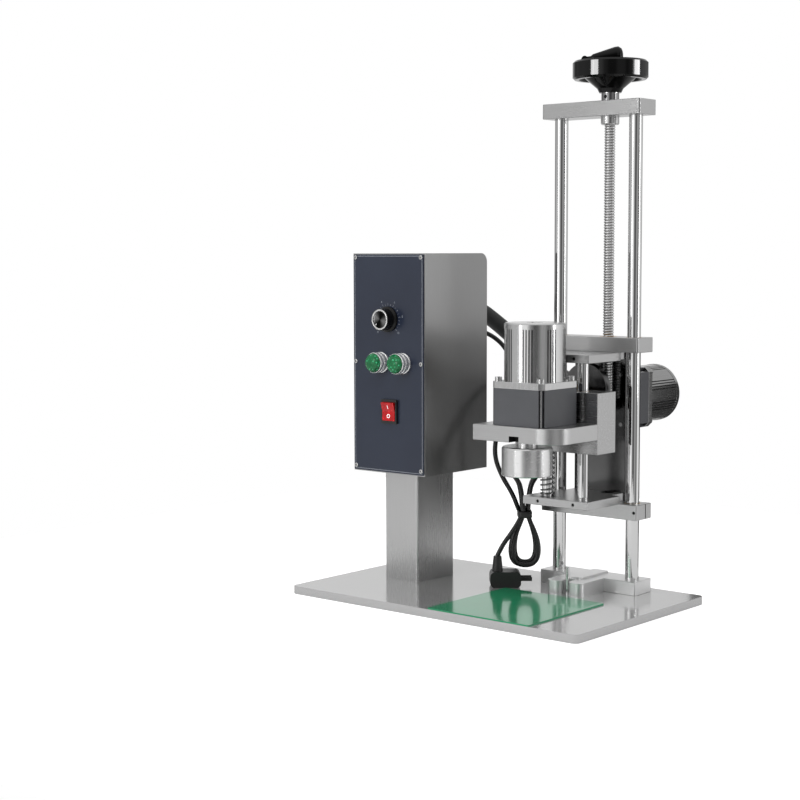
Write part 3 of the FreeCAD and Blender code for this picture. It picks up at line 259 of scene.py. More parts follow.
class Finish(Nodes):
    """One procedural material: a surface shader and the nodes that feed it."""

    def __init__(self, name, **fixed):
        self.material = bpy.data.materials.new(name)
        self.material.use_nodes = True
        super().__init__(self.material.node_tree, "Object")
        self.surface = self.tree.nodes.new("ShaderNodeBsdfPrincipled")
        end = self.tree.nodes.new("ShaderNodeOutputMaterial")
        self.tree.links.new(self.surface.outputs[0], end.inputs["Surface"])
        self.set(**fixed)

    def set(self, **inputs):
        """Sets or links the surface shader's sockets, named with underscores."""
        for name, value in inputs.items():
            self.feed(self.surface.inputs[name.replace("_", " ")], value)

    def bump(self, height, depth):
        self.set(Normal=self.node("ShaderNodeBump", {}, {"Height": height, "Distance": depth, "Strength": 1.0}))


def shaded(level, share):
    """A grey or tint made lighter or darker by a share."""
    return tuple(min(1.0, channel * share) for channel in level[:3]) + (1.0,)


def metal(name, level, roughness, grain, depth=0.00001, spread=0.12, rough_spread=0.1):
    """A metal with fine lines along one axis, faint cloudiness and small scratches."""
    finish = Finish(name, Metallic=1.0)
    lines = finish.noise(1.0, grain, 3.0)
    cloud = finish.noise(9.0, detail=2.0)
    scratches = finish.noise(1.0, tuple(4.0 * g ** 0.8 for g in grain), 0.0)
    worn = ((scratches - 0.68) * 6.0).within()
    tone = ((lines - 0.5) * 1.1 + (cloud - 0.5) * 0.3 + 0.5).within()
    finish.set(Base_Color=finish.blend(tone, shaded(level, 1 - spread), shaded(level, 1 + spread)))
    uneven = (lines - 0.5) * rough_spread + (cloud - 0.5) * 0.06 + worn * 0.08
    finish.set(Roughness=(uneven + roughness).within())
    finish.bump(lines + worn * 0.4, depth)
    return finish


def moulded(name, colour, roughness, depth=0.00004, coat=0.0):
    """Moulded plastic or painted casting with a fine grain and slight wear."""
    finish = Finish(name, Coat_Weight=coat, Coat_Roughness=0.08)
    grains = finish.noise(900.0, detail=2.0)
    cloud = finish.noise(30.0, detail=3.0)
    finish.set(Base_Color=finish.blend(cloud, shaded(colour, 0.8), shaded(colour, 1.2)))
    finish.set(Roughness=((cloud - 0.5) * 0.12 + (grains - 0.5) * 0.06 + roughness).within())
    finish.bump(grains, depth)
    return finish


def green_sheet():
    """Smooth green mat with faint clouds and dust."""
    finish = Finish("green_sheet", Coat_Weight=0.35, Coat_Roughness=0.05, Specular_IOR_Level=0.4)
    cloud = finish.noise(9.0, detail=4.0)
    dust = ((finish.noise(420.0, detail=2.0) - 0.66) * 7.0).within()
    green = finish.blend(cloud, tint(12, 94, 60), tint(30, 126, 88))
    finish.set(Base_Color=finish.blend(dust * 0.25, green, tint(120, 176, 150)))
    finish.set(Roughness=((cloud - 0.5) * 0.1 + dust * 0.2 + 0.14).within())
    finish.bump(finish.noise(60.0, detail=1.0), 0.00005)
    return finish


def panel_face():
    """Dark glossy face with a painted highlight: a thin pale line just inside its edge, for the light on its
    edge chamfer.
    """
    finish = Finish("panel_face", Coat_Weight=0.15, Coat_Roughness=0.06)
    low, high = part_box("front_panel")
    middle, half = (low + high) / 2, (high - low) / 2
    beside = half.x - (finish.axis("X") - middle.x).size()
    above = half.z - (finish.axis("Z") - middle.z).size()
    edge = finish.node("ShaderNodeMath", {"operation": "MINIMUM"}, {0: beside, 1: above})
    # Painted highlight for the edge chamfer: a pale line between these distances from the edge.
    line = (edge > CHAMFER_HIGHLIGHT_START) * (edge < CHAMFER_HIGHLIGHT_END)
    cloud = finish.noise(11.0, detail=4.0)
    face = finish.blend(cloud, tint(18, 23, 37), tint(27, 34, 48))
    finish.set(Base_Color=finish.blend(line * 0.55, face, tint(150, 154, 160)))
    finish.set(Roughness=((cloud - 0.5) * 0.1 + 0.3).within())
    finish.bump(finish.noise(700.0), 0.00001)
    return finish


def lens(name, colour, highlight_colour, painted_glow, depth=0.001):
    """Translucent moulded lens: small facets inside it catch the light in spots, painted as glints, and a faint
    glow of its own colour is painted on.
    """
    finish = Finish(name, Coat_Weight=0.35, Coat_Roughness=0.03, Specular_IOR_Level=0.3)
    inputs = {"Vector": finish.place, "Scale": 210.0}
    cells = finish.node("ShaderNodeTexVoronoi", {}, inputs, output="Distance")
    # Painted glints: spots near the facets' centres are lightened towards the highlight colour.
    painted_glint = ((0.34 - cells) * 4.0).within()
    shade = finish.noise(70.0, detail=1.0)
    deep = finish.blend(shade, shaded(colour, 0.35), colour)
    finish.set(Base_Color=finish.blend(painted_glint * 0.55, deep, highlight_colour))
    # Painted glow: a faint light of the lens's own colour, though no lamp is in it.
    finish.set(Emission_Color=colour, Emission_Strength=painted_glow)
    finish.set(Roughness=((shade - 0.5) * 0.12 + 0.14).within())
    finish.bump(cells, depth)
    return finish


def turned_metal(name, level, roughness):
    """Metal with the fine rings that a lathe leaves."""
    return metal(name, level, roughness, (60, 60, 2600), depth=0.000012, spread=0.08)


def thread_steel():
    """Steel screw, lighter on its crests and darker in its roots, with faint smears."""
    finish = Finish("greased_thread", Metallic=1.0)
    low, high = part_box("lead_screw")
    middle = (low + high) / 2
    x, y = finish.axis("X") - middle.x, finish.axis("Y") - middle.y
    radius = (x * x + y * y) ** 0.5
    crest = ((radius - (THREAD_ROOT + 0.3 * MM)) / (0.8 * MM)).within()
    smear = finish.noise(60.0, (1, 1, 0.4), 3.0)
    bright = (crest * 1.2 - smear * 0.35).within()
    finish.set(Base_Color=finish.blend(bright, tint(150, 149, 147), tint(226, 226, 227)))
    finish.set(Roughness=(0.42 - bright * 0.18).within())
    finish.bump(smear, 0.00003)
    return finish


def black_sheath(name, roughness, level=17):
    """Cable sheath: matt black with faint lengthwise scuffs."""
    finish = Finish(name)
    scuffs = finish.noise(90.0, (1, 1, 0.3), 4.0)
    worn = ((scuffs - 0.6) * 3.0).within()
    finish.set(Base_Color=finish.blend(worn * 0.4, tint(level), tint(level + 16)))
    finish.set(Roughness=(worn * 0.15 + roughness).within())
    finish.bump(finish.noise(800.0), 0.00003)
    return finish


def braided_sleeve():
    """Woven sleeve over the motor leads. Its UV map runs along and round the tube."""
    finish = Finish("braided_sleeve")
    along = finish.node("ShaderNodeTexCoord", output="UV")
    u = finish.node("ShaderNodeSeparateXYZ", {}, {0: along}, output="X")
    v = finish.node("ShaderNodeSeparateXYZ", {}, {0: along}, output="Y")
    weave = ((u * 1800.0 + v * 150.8).sine() * (u * 1800.0 - v * 150.8).sine()) * 0.5 + 0.5
    patches = finish.noise(40.0, detail=3.0)
    finish.set(Base_Color=finish.blend(weave * 0.6 + patches * 0.4, tint(9), tint(36)))
    finish.set(Roughness=(0.5 - weave * 0.12).within())
    finish.bump(weave, 0.0004)
    return finish


def sunk(finish, name, first, second, along):
    """Mask of painted shade: where a motor's body lies below its outer diameter, as in its grooves."""
    low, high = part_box(name)
    middle = (low + high) / 2
    a = finish.axis(first) - getattr(middle, first.lower())
    b = finish.axis(second) - getattr(middle, second.lower())
    reach = (a * a + b * b) ** 0.5
    up = finish.axis(along)
    start, end = getattr(low, along.lower()) + MOTOR_FLANGE, getattr(high, along.lower()) - MOTOR_CAP
    body = (up > start) * (up < end)
    return ((MOTOR_R - GROOVE_SHADE_START - reach) / GROOVE_SHADE_BLEND).within() * body


def inside_notch(finish):
    """Mask of painted shade: the cable notch under the front edge of the motor plate, which is painted black.
    """
    low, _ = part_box("motor_plate")
    beside = NOTCH_HALF - (finish.axis("X") - NOTCH_PLACE).size()
    below = low.z + NOTCH_TALL - finish.axis("Z")
    deep = finish.axis("Y") - (low.y + NOTCH_START)
    return (beside > -NOTCH_MARGIN) * (below > -NOTCH_MARGIN) * (deep > 0.0) * (NOTCH_DEEP - deep > 0.0)


def darken(finish, mask):
    """Paints shade: turns a finish to dull black where the mask is 1."""
    colour = finish.surface.inputs["Base Color"].links[0].from_socket
    rough = finish.surface.inputs["Roughness"].links[0].from_socket
    finish.set(Base_Color=finish.blend(mask, Value(finish, colour), tint(14)))
    finish.set(Metallic=1 - mask * 0.8, Roughness=Value(finish, rough) * (1 - mask) + mask * 0.6)


def paint(node, finish):
    """Gives every material slot of a node or piece the same finish."""
    slots = node.data.materials
    if not len(slots):
        slots.append(finish.material)
    for index in range(len(slots)):
        slots[index] = finish.material


# How the noise of a grain is stretched along each axis
ALONG_X, ALONG_Y, ALONG_Z = (14, 1100, 1100), (1100, 14, 1100), (1100, 1100, 14)

plate_mirror = metal("polished_plate", tint(184), 0.14, ALONG_X, depth=0.000004, spread=0.05, rough_spread=0.05)
plate_mirror.set(Metallic=0.76)
box_sheet = metal("brushed_box_sheet", tint(178), 0.3, ALONG_Z, depth=0.000005, spread=0.06, rough_spread=0.05)
ground_x = metal("ground_steel", tint(188), 0.3, ALONG_X, depth=0.000006, spread=0.07)
foot_steel = metal("foot_steel", tint(232), 0.4, ALONG_X, depth=0.000008, spread=0.06)
ground_dark = metal("ground_steel_dark", tint(104), 0.16, ALONG_Z, depth=0.000006)
block_steel = metal("sliding_block_steel", tint(186), 0.24, ALONG_X)
chrome_rod = metal("chromed_rod", tint(218), 0.05, ALONG_Z, depth=0.000002, spread=0.03, rough_spread=0.03)
bezel_metal = turned_metal("bezel_satin", tint(238), 0.16)
bezel_metal.set(Metallic=0.75)
plated = metal("bright_zinc", tint(205), 0.2, ALONG_Z, depth=0.000006)
cap_motor_metal = metal("cap_motor_aluminium", tint(206), 0.2, ALONG_Z, depth=0.000006)
# Painted shade: the grooves of both motor bodies are painted dull black.
darken(cap_motor_metal, sunk(cap_motor_metal, "cap_motor", "X", "Y", "Z"))
press_motor_metal = metal("press_motor_aluminium", tint(186), 0.22, ALONG_Y, depth=0.000006)
darken(press_motor_metal, sunk(press_motor_metal, "press_motor", "X", "Z", "Y"))
plate_steel = metal("motor_plate_steel", tint(194), 0.3, ALONG_X, depth=0.000006, spread=0.07)
# Painted shade: the cable notch in the motor plate is painted dull black.
darken(plate_steel, inside_notch(plate_steel))
chuck_metal = turned_metal("turned_aluminium", tint(222), 0.22)
bush_bronze = turned_metal("bush_bronze", tint(176, 140, 84), 0.3)
spring_steel = metal("spring_wire", tint(128), 0.25, ALONG_Z)
post_steel = metal("post_steel", tint(196), 0.28, ALONG_Z, depth=0.000002, spread=0.04, rough_spread=0.03)
black_oxide = metal("black_oxide", tint(52), 0.3, ALONG_Z)
collar_steel = turned_metal("turned_collar", tint(150), 0.16)
casting = moulded("gearbox_paint", tint(60, 61, 64), 0.45, coat=0.08)
plastic = moulded("black_plastic", tint(22), 0.42)
wheel_black = moulded("polished_black", tint(3), 0.08, depth=0.000003, coat=0.15)
wheel_black.set(Specular_IOR_Level=0.18)
knob_black = moulded("knob_black", tint(9), 0.3)
knob_black.set(Specular_IOR_Level=0.3)
liner = moulded("liner_rubber", tint(92, 82, 70), 0.6)
red = lens("red_lens", tint(172, 8, 14), tint(206, 34, 40), 0.08, depth=0.00002)
green = lens("green_lens", tint(2, 96, 52), tint(70, 196, 140), 0.08)

FINISHES = [
    (plate_mirror, ["base_plate"]),
    (ground_x, ["top_crossbar", "upper_lift_bar", "lower_lift_bar", "rod_top_plate", "rod_bottom_plate"]),
    (foot_steel, ["column_base_bar", "locator_block"]),
    (green_sheet(), ["green_mat"]),
    (chrome_rod, ["left_column", "right_column", "guide_rods", "locator_pin"]),
    (bezel_metal, ["button_bezels"]),
    (plated, ["frame_screws", "screw_bearing_bush", "panel_screws", "speed_potentiometer",
              "press_gearbox_screws", "cap_gearbox_screws"]),
    (post_steel, ["post"]),
    (box_sheet, ["control_box_shell"]),
    (panel_face(), ["front_panel"]),
    (ground_dark, ["lift_back_plate", "follower_bar", "crank_disc"]),
    (block_steel, ["sliding_block"]),
    (casting, ["cap_gearbox", "press_gearbox"]),
    (cap_motor_metal, ["cap_motor"]),
    (press_motor_metal, ["press_motor"]),
    (plate_steel, ["motor_plate"]),
    (chuck_metal, ["chuck_body"]),
    (bush_bronze, ["column_bushes", "rod_bushes", "lift_nut", "crank_roller"]),
    (black_oxide, ["lift_screws", "motor_plate_screws"]),
    (collar_steel, ["thrust_collar"]),
    (wheel_black, ["handwheel", "folding_handle"]),
    (plastic, ["switch_frame", "speed_controller", "run_capacitor", "terminal_block", "cable_glands",
               "power_plug", "press_motor_gland"]),
    (knob_black, ["speed_knob"]),
    (liner, ["chuck_liner"]),
    (green, ["start_button", "stop_button"]),
    (red, ["rocker"]),
    (black_sheath("cord_sheath", 0.4),
     ["power_cord_feed", "cord_hank", "power_cord_tail", "motor_conduit"]),
    (spring_steel, ["return_spring", "lead_screw"]),
]
for finish, names in FINISHES:
    for name in names:
        paint(nodes[name], finish)


# Mesh pieces

def placed(name, data):
    """An object in the scene for a mesh, curve, text, lamp or camera."""
    made = bpy.data.objects.new(name, data)
    bpy.context.scene.collection.objects.link(made)
    return made


def add_piece(name, vertices, faces, finish, smooth=True):
    mesh = bpy.data.meshes.new(name)
    mesh.from_pydata([tuple(v) for v in vertices], [], faces)
    mesh.materials.append(finish.material)
    mesh.update()
    for polygon in mesh.polygons:
        polygon.use_smooth = smooth
    return placed(name, mesh)


def grid_faces(rows, columns, closed):
    """Quads between rows of points; closed joins the last column to the first."""
    across = columns if closed else columns - 1
    return [(r * columns + c, r * columns + (c + 1) % columns, (r + 1) * columns + (c + 1) % columns,
             (r + 1) * columns + c) for r in range(rows - 1) for c in range(across)]


def turned_rings(profile, steps, spot):
    """Rings of points for a turned form: spot gives a point from a profile's row, a cosine and a sine."""
    return [spot(radius, out, math.cos(2 * math.pi * step / steps), math.sin(2 * math.pi * step / steps))
            for radius, out in profile for step in range(steps)]


def sweep(name, path, radius, sides, finish):
    """A tube along a path of points, with flat ends, its rings turned without twist."""
    vertices, before = [], None
    for index, point in enumerate(path):
        ahead = (path[min(index + 1, len(path) - 1)] - path[max(index - 1, 0)]).normalized()
        if before is None:
            turn = ahead.orthogonal().normalized()
        else:
            turn.rotate(before.rotation_difference(ahead))
        before = ahead
        side = ahead.cross(turn).normalized()
        for s in range(sides):
            angle = 2 * math.pi * s / sides
            vertices.append(point + (turn * math.cos(angle) + side * math.sin(angle)) * radius)
    faces = grid_faces(len(path), sides, True)
    faces += [tuple(reversed(range(sides))), tuple(range(len(vertices) - sides, len(vertices)))]
    return add_piece(name, vertices, faces, finish)


def map_tube(piece, path, sides):
    """A UV map in metres along the tube and shares of a turn round it."""
    reach = [0.0]
    for before, after in zip(path, path[1:]):
        reach.append(reach[-1] + (after - before).length)
    layer = piece.data.uv_layers.new(name="along")
    for polygon in piece.data.polygons:
        for loop in polygon.loop_indices:
            vertex = piece.data.loops[loop].vertex_index
            layer.data[loop].uv = (reach[vertex // sides], (vertex % sides) / sides)


def control_spline(name, points, bevel=0.0):
    """A curve whose control points are the route's points."""
    data = bpy.data.curves.new(name, "CURVE")
    data.dimensions = "3D"
    data.resolution_u = 10
    data.bevel_depth = bevel
    data.bevel_resolution = 5
    data.use_fill_caps = True
    spline = data.splines.new("NURBS")
    spline.points.add(len(points) - 1)
    for control, point in zip(spline.points, points):
        control.co = (*point, 1.0)
    spline.order_u = 3
    spline.use_endpoint_u = True
    return placed(name, data)


def line_of(points):
    """The points along a route's spline, as Blender works them out."""
    guide = control_spline("route", points)
    bpy.context.view_layer.update()
    mesh = bpy.data.meshes.new_from_object(guide.evaluated_get(bpy.context.evaluated_depsgraph_get()))
    line = [v.co.copy() for v in mesh.vertices]
    bpy.data.objects.remove(guide)
    return line


def metres(points):
    return [Vector(p) * MM for p in points]


# Power cord, its folded loops and its tie

def hank_point(across, depth, height):
    turn = Matrix.Rotation(HANK_TURN, 3, "Z")
    return HANK_PLACE + turn @ (Vector((across, depth, height)) * MM)


def hank_points():
    """Three turns: down the left, round the lower fold, up the right, over and down to the waist."""
    points = []
    lower, upper = HANK_SIDE[:HANK_WAIST], HANK_SIDE[HANK_WAIST:]
    for turn in range(HANK_TURNS):
        depth = HANK_BACK - HANK_LAYER * turn
        width, lift = LOOP_WIDTH[turn], LOOP_LIFT[turn]
        for half, height in reversed(lower):
            points.append(hank_point(-half * width, depth, height + lift))
        for half, height in lower:
            points.append(hank_point(half * width, depth, height + lift))
        for half, height in upper:
            points.append(hank_point(half * width, depth, height - lift))
        for index, (half, height) in enumerate(reversed(upper)):
            passed = (index + 1) / len(upper)
            points.append(hank_point(-half * width, depth - HANK_LAYER * passed, height - lift))
    return points


def power_cord():
    points = metres(FEED) + hank_points() + metres(TAIL)
    cord = control_spline("power_cord", points, CORD_D / 2)
    cord.data.materials.append(black_sheath("power_cord_sheath", 0.24, 10).material)
    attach(cord, "root")
    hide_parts("power_cord_feed", "cord_hank", "power_cord_tail")
    return cord


def cord_tie():
    """Band with rounded corners, wrapped round the waist of the loops."""
    ring = []
    for cx, cy, start in ((1, 1, 0), (-1, 1, 90), (-1, -1, 180), (1, -1, 270)):
        for step in range(TIE_CORNER_STEPS):
            angle = math.radians(start + 90 * step / (TIE_CORNER_STEPS - 1))
            ring.append(((TIE_HALF_X - TIE_CORNER) * cx + TIE_CORNER * math.cos(angle),
                         (TIE_HALF_Y - TIE_CORNER) * cy + TIE_CORNER * math.sin(angle)))
    vertices = []
    for swell, height in TIE_PROFILE:
        grow = 1 + swell / TIE_HALF_X
        vertices += [hank_point(x * grow + TIE_SHIFT, y * grow, height) for x, y in ring]
    tie = add_piece("cord_tie", vertices, grid_faces(len(TIE_PROFILE), len(ring), True), plastic)
    shell = tie.modifiers.new("band", "SOLIDIFY")
    shell.thickness = TIE_SHEET * MM
    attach(tie, "root")
    return tie


# Motor conduit: a woven sleeve over the motor leads

def motor_conduit():
    path = line_of(metres(CONDUIT))
    sleeve = sweep("motor_lead_sleeve", path, CONDUIT_D / 2, CONDUIT_SIDES, braided_sleeve())
    map_tube(sleeve, path, CONDUIT_SIDES)
    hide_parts("motor_conduit")
    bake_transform(sleeve)


# Lead screw with its thread

def lead_screw():
    low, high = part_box("lead_screw")
    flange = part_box("screw_bearing_bush")[0].z
    middle = (low + high) / 2
    crest = (high.x - low.x) / 2
    # One turn of the thread: (radius, share of the lead)
    section = ((THREAD_ROOT, 0.0), (THREAD_ROOT, 0.22), (crest, 0.42), (crest, 0.8), (THREAD_ROOT, 1.0))
    top = flange - THREAD_GAP
    rows = math.ceil((top - low.z + LEAD) / LEAD * THREAD_STEPS) + 1
    vertices = []
    for row in range(rows):
        angle = 2 * math.pi * row / THREAD_STEPS
        start = low.z - LEAD + LEAD * row / THREAD_STEPS
        for radius, share in section:
            z = min(max(start + LEAD * share, low.z), top)
            vertices.append((middle.x + radius * math.cos(angle), middle.y + radius * math.sin(angle), z))
    faces = grid_faces(rows, len(section), False)
    screw = add_piece("lead_screw_thread", vertices, faces, thread_steel())
    mesh = bmesh.new()
    mesh.from_mesh(screw.data)
    for radius, z0, z1 in ((THREAD_ROOT + 0.02 * MM, low.z, top), (SCREW_NECK, top - MM, high.z)):
        place = Matrix.Translation((middle.x, middle.y, (z0 + z1) / 2))
        bmesh.ops.create_cone(mesh, cap_ends=True, segments=SCREW_SIDES, radius1=radius, radius2=radius,
                              depth=z1 - z0, matrix=place)
    bmesh.ops.remove_doubles(mesh, verts=mesh.verts, dist=1e-7)
    bmesh.ops.recalc_face_normals(mesh, faces=mesh.faces)
    mesh.to_mesh(screw.data)
    mesh.free()
    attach(screw, "screw")
    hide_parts("lead_screw")


# Return spring, fitted between the lower rod plate and the sliding block

def return_spring():
    low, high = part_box("return_spring")
    middle = (low + high) / 2
    wire = SPRING_WIRE / 2
    floor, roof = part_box("rod_bottom_plate")[1].z + wire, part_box("sliding_block")[0].z - wire
    steps = int(SPRING_COILS * SPRING_STEPS)
    closing = SPRING_CLOSED / SPRING_COILS
    path = []
    for step in range(steps + 1):
        share = step / steps
        run = min(max((share - closing) / (1 - 2 * closing), 0.0), 1.0)
        seat = SPRING_WIRE * (min(share, closing) + max(0.0, share - 1 + closing)) * SPRING_COILS
        z = floor + seat + run * (roof - floor - 2 * SPRING_WIRE * closing * SPRING_COILS)
        angle = 2 * math.pi * SPRING_COILS * share
        path.append(Vector((middle.x + SPRING_R * math.cos(angle), middle.y + SPRING_R * math.sin(angle), z)))
    spring = sweep("return_spring_coil", path, wire, SPRING_SIDES, spring_steel)
    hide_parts("return_spring")
    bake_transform(spring)


# Turned bezels of the push buttons

def button_bezels():
    """Two stepped rings, turned from one profile."""
    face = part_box("front_panel")[0].y
    vertices, faces = [], []
    for name in ("start_button", "stop_button"):
        low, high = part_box(name)
        x, z = (low.x + high.x) / 2, (low.z + high.z) / 2
        first = len(vertices)
        vertices += turned_rings(BEZEL_PROFILE, BEZEL_STEPS, lambda radius, out, cosine, sine: (
            x + radius * MM * cosine, face - out * MM, z + radius * MM * sine))
        faces += [tuple(first + corner for corner in quad)
                  for quad in grid_faces(len(BEZEL_PROFILE), BEZEL_STEPS, True)]
    rings = add_piece("button_bezel_rings", vertices, faces, bezel_metal)
    rings.data.set_sharp_from_angle(angle=math.radians(40))
    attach(rings, "root")
    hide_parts("button_bezels")


# Grip of the handwheel, folded down across the rim

def folding_grip():
    """The handle's own form, made taller above its pivot and a little wider, as a moulded grip."""
    low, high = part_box("folding_handle")
    middle = (low + high) / 2
    mesh = bmesh.new()
    mesh.from_mesh(nodes["folding_handle"].data)
    bmesh.ops.remove_doubles(mesh, verts=mesh.verts, dist=1e-6)
    for vertex in mesh.verts:
        vertex.co.z = low.z + (vertex.co.z - low.z) * GRIP_RISE
        vertex.co.x = middle.x + (vertex.co.x - middle.x) * GRIP_SWELL
        vertex.co.y = middle.y + (vertex.co.y - middle.y) * GRIP_SWELL
    data = bpy.data.meshes.new("folding_grip")
    mesh.to_mesh(data)
    mesh.free()
    data.materials.clear()
    data.materials.append(wheel_black.material)
    grip = placed("folding_grip", data)
    for polygon in data.polygons:
        polygon.use_smooth = True
    data.set_sharp_from_angle(angle=math.radians(35))
    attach(grip, "handle")
    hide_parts("folding_handle")


# Marks on the panel

def flat_marks(name, outlines, y, finish, body, proud=MARK_PROUD):
    """Thin printed marks: closed outlines of (x, z) points, standing just proud of a face."""
    vertices, faces = [], []
    for outline in outlines:
        first = len(vertices)
        vertices += [(x, y - proud, z) for x, z in outline]
        faces.append(tuple(range(first, len(vertices))))
    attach(add_piece(name, vertices, faces, finish, smooth=False), body)


def bar_outline(x, z, angle, start, end, width):
    """A narrow bar that points away from (x, z), from one radius to another."""
    out = Vector((math.sin(angle), math.cos(angle)))
    side = Vector((out.y, -out.x)) * width / 2
    near, far = Vector((x, z)) + out * start, Vector((x, z)) + out * end
    return [tuple(near - side), tuple(near + side), tuple(far + side), tuple(far - side)]


def dial_marks():
    """Ticks all round the knob and every second number from 0 to 10."""
    low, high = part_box("speed_knob")
    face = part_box("front_panel")[0].y
    x, z = (low.x + high.x) / 2, (low.z + high.z) / 2
    radius = (high.x - low.x) / 2
    print_finish = moulded("pale_print", tint(118, 122, 128), 0.5)
    outlines = []
    for step in range(DIAL_TICKS + 1):
        angle = math.radians(DIAL_START + DIAL_SWEEP * step / DIAL_TICKS)
        start = radius + TICK_GAP
        length = TICK_LONG if step % 2 == 0 else TICK_SHORT
        outlines.append(bar_outline(x, z, angle, start, start + length, TICK_WIDE))
    flat_marks("dial_ticks", outlines, face, print_finish, "root")
    for step in range(0, 11, 2):
        angle = math.radians(DIAL_START + DIAL_SWEEP * step / 10)
        text = bpy.data.curves.new("dial_number_%d" % step, "FONT")
        text.body = str(step)
        text.size = NUMBER_TALL
        text.align_x = "CENTER"
        text.align_y = "CENTER"
        text.materials.append(print_finish.material)
        number = placed("dial_number_%d" % step, text)
        reach = radius + NUMBER_OUT
        number.location = (x + reach * math.sin(angle), face - NUMBER_PROUD, z + reach * math.cos(angle))
        number.rotation_euler = (math.radians(90), 0, 0)
        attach(number, "root")


def knob_trim():
    """Bright spun cap on the knob's face, with a fine rim and a pointer line."""
    low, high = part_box("speed_knob")
    x, z = (low.x + high.x) / 2, (low.z + high.z) / 2
    vertices = turned_rings(CAP_PROFILE, CAP_STEPS, lambda radius, back, cosine, sine: (
        x + radius * MM * cosine, low.y + back * MM, z + radius * MM * sine))
    cap = add_piece("knob_cap", vertices, grid_faces(len(CAP_PROFILE), CAP_STEPS, True), turned_cap())
    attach(cap, "knob")
    pointer = bar_outline(x, z, math.radians(DIAL_START), POINTER_START, POINTER_END, POINTER_WIDE)
    flat_marks("knob_pointer", [pointer], low.y + POINTER_BACK, moulded("white_print", tint(225), 0.5), "knob")


def turned_cap():
    """Spun disc with a painted reflection: a sheen painted into its colour turns round the centre, dark and
    bright in opposite quarters.
    """
    finish = Finish("spun_cap", Metallic=1.0)
    low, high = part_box("speed_knob")
    x, z = finish.axis("X") - (low.x + high.x) / 2, finish.axis("Z") - (low.z + high.z) / 2
    radius = (x * x + z * z) ** 0.5
    rings = (radius * 9000.0).sine()
    rim = radius > CAP_RIM
    # Painted reflection: the sheen is a pattern of dark and light in the colour.
    across = (x * 0.94 - z * 0.34) / (radius + 0.0005)
    painted_sheen = across * across * across * across
    dark = finish.blend(painted_sheen, tint(16), tint(150))
    finish.set(Base_Color=finish.blend(rim, dark, tint(226)))
    finish.set(Roughness=(rings * 0.03 + 0.24 - rim * 0.1).within())
    finish.bump(rings, 0.000004)
    return finish


def rocker_signs():
    """A ring for off and a line for on, each lying on the rocker's own slanted face."""
    low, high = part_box("rocker")
    x, z = (low.x + high.x) / 2, (low.z + high.z) / 2
    white = moulded("white_mark", tint(235), 0.4)
    turns = [2 * math.pi * s / RING_STEPS for s in range(RING_STEPS)]
    ring = [(r * math.cos(turn), r * math.sin(turn)) for r in (RING_IN, RING_OUT) for turn in turns]
    ring_faces = [tuple(reversed(face)) for face in grid_faces(2, RING_STEPS, True)]
    bar = [(-BAR_HALF, -BAR_TALL), (BAR_HALF, -BAR_TALL), (BAR_HALF, BAR_TALL), (-BAR_HALF, BAR_TALL)]
    for name, points, faces, height in (("rocker_sign_off", ring, ring_faces, z - OFF_BELOW),
                                        ("rocker_sign_on", bar, [(0, 1, 2, 3)], z + ON_ABOVE)):
        before = Vector((x, low.y - 0.1, height))
        _, place, normal, _ = nodes["rocker"].ray_cast(before, Vector((0, 1, 0)))
        up = (Vector((0, 0, 1)) - normal * normal.z).normalized()
        across = up.cross(normal).normalized()
        centre = place + normal * SIGN_PROUD
        vertices = [centre + across * (a * MM) + up * (b * MM) for a, b in points]
        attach(add_piece(name, vertices, faces, white, smooth=False), "rocker")


def panel_screw_slots():
    """Painted shade: dark crosses on the six panel screws where their cross recesses are."""
    # Painted shade of the cross recesses, as flat dark marks on the screw heads.
    dark = moulded("recess_shadow", tint(38), 0.6)
    low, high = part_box("panel_screws")
    outlines = []
    for x in (low.x + SCREW_HEAD, high.x - SCREW_HEAD):
        for z in (low.z + SCREW_HEAD, SCREW_MIDDLE_Z, high.z - SCREW_HEAD):
            for angle in (RECESS_TURN, RECESS_TURN + math.pi / 2):
                outlines.append(bar_outline(x, z, angle, -RECESS_HALF, RECESS_HALF, RECESS_WIDE))
    flat_marks("panel_screw_slots", outlines, low.y, dark, "root", RECESS_PROUD)


cord = power_cord()
tie = cord_tie()
motor_conduit()
lead_screw()
return_spring()
folding_grip()
button_bezels()
dial_marks()
knob_trim()
rocker_signs()
panel_screw_slots()


# Camera, lights and surroundings

def camera():
    turn, drop, roll = (math.radians(x) for x in (CAMERA_TURN, CAMERA_DROP, CAMERA_ROLL))
    ahead = Vector((-math.sin(turn) * math.cos(drop), math.cos(turn) * math.cos(drop), -math.sin(drop)))
    level = Vector((math.cos(turn), math.sin(turn), 0))
    above = level.cross(ahead)
    right = level * math.cos(roll) + above * math.sin(roll)
    up = above * math.cos(roll) - level * math.sin(roll)
    made = bpy.data.cameras.new("photo_camera")
    made.lens = CAMERA_LENS
    made.sensor_width = CAMERA_SENSOR
    made.clip_end = CAMERA_REACH
    camera_object = placed("photo_camera", made)
    facing = Matrix((right, up, -ahead)).transposed().to_4x4()
    camera_object.matrix_world = Matrix.Translation(CAMERA_PLACE) @ facing
    bpy.context.scene.camera = camera_object


def toward(bearing):
    """The level direction at a bearing in degrees from the camera, counted to the right."""
    angle = math.radians(bearing)
    return CAMERA_SIDE * math.cos(angle) + CAMERA_RIGHT * math.sin(angle)


def softbox(name, bearing, distance, height, width, length, power, mirrored):
    """A lamp aimed at the machine."""
    data = bpy.data.lights.new(name, "AREA")
    data.shape = "RECTANGLE"
    data.size, data.size_y, data.energy = width, length, power
    lamp = placed(name, data)
    lamp.location = toward(bearing) * distance + Vector((0, 0, height))
    lamp.rotation_euler = (LAMP_AIM - lamp.location).to_track_quat("-Z", "Y").to_euler()
    lamp.visible_glossy = mirrored
    return lamp


def only_for(lamp, *names):
    """Limits a lamp to a few nodes."""
    lit = bpy.data.collections.new(lamp.name + "_on")
    for name in names:
        lit.objects.link(nodes[name])
    lamp.light_linking.receiver_collection = lit


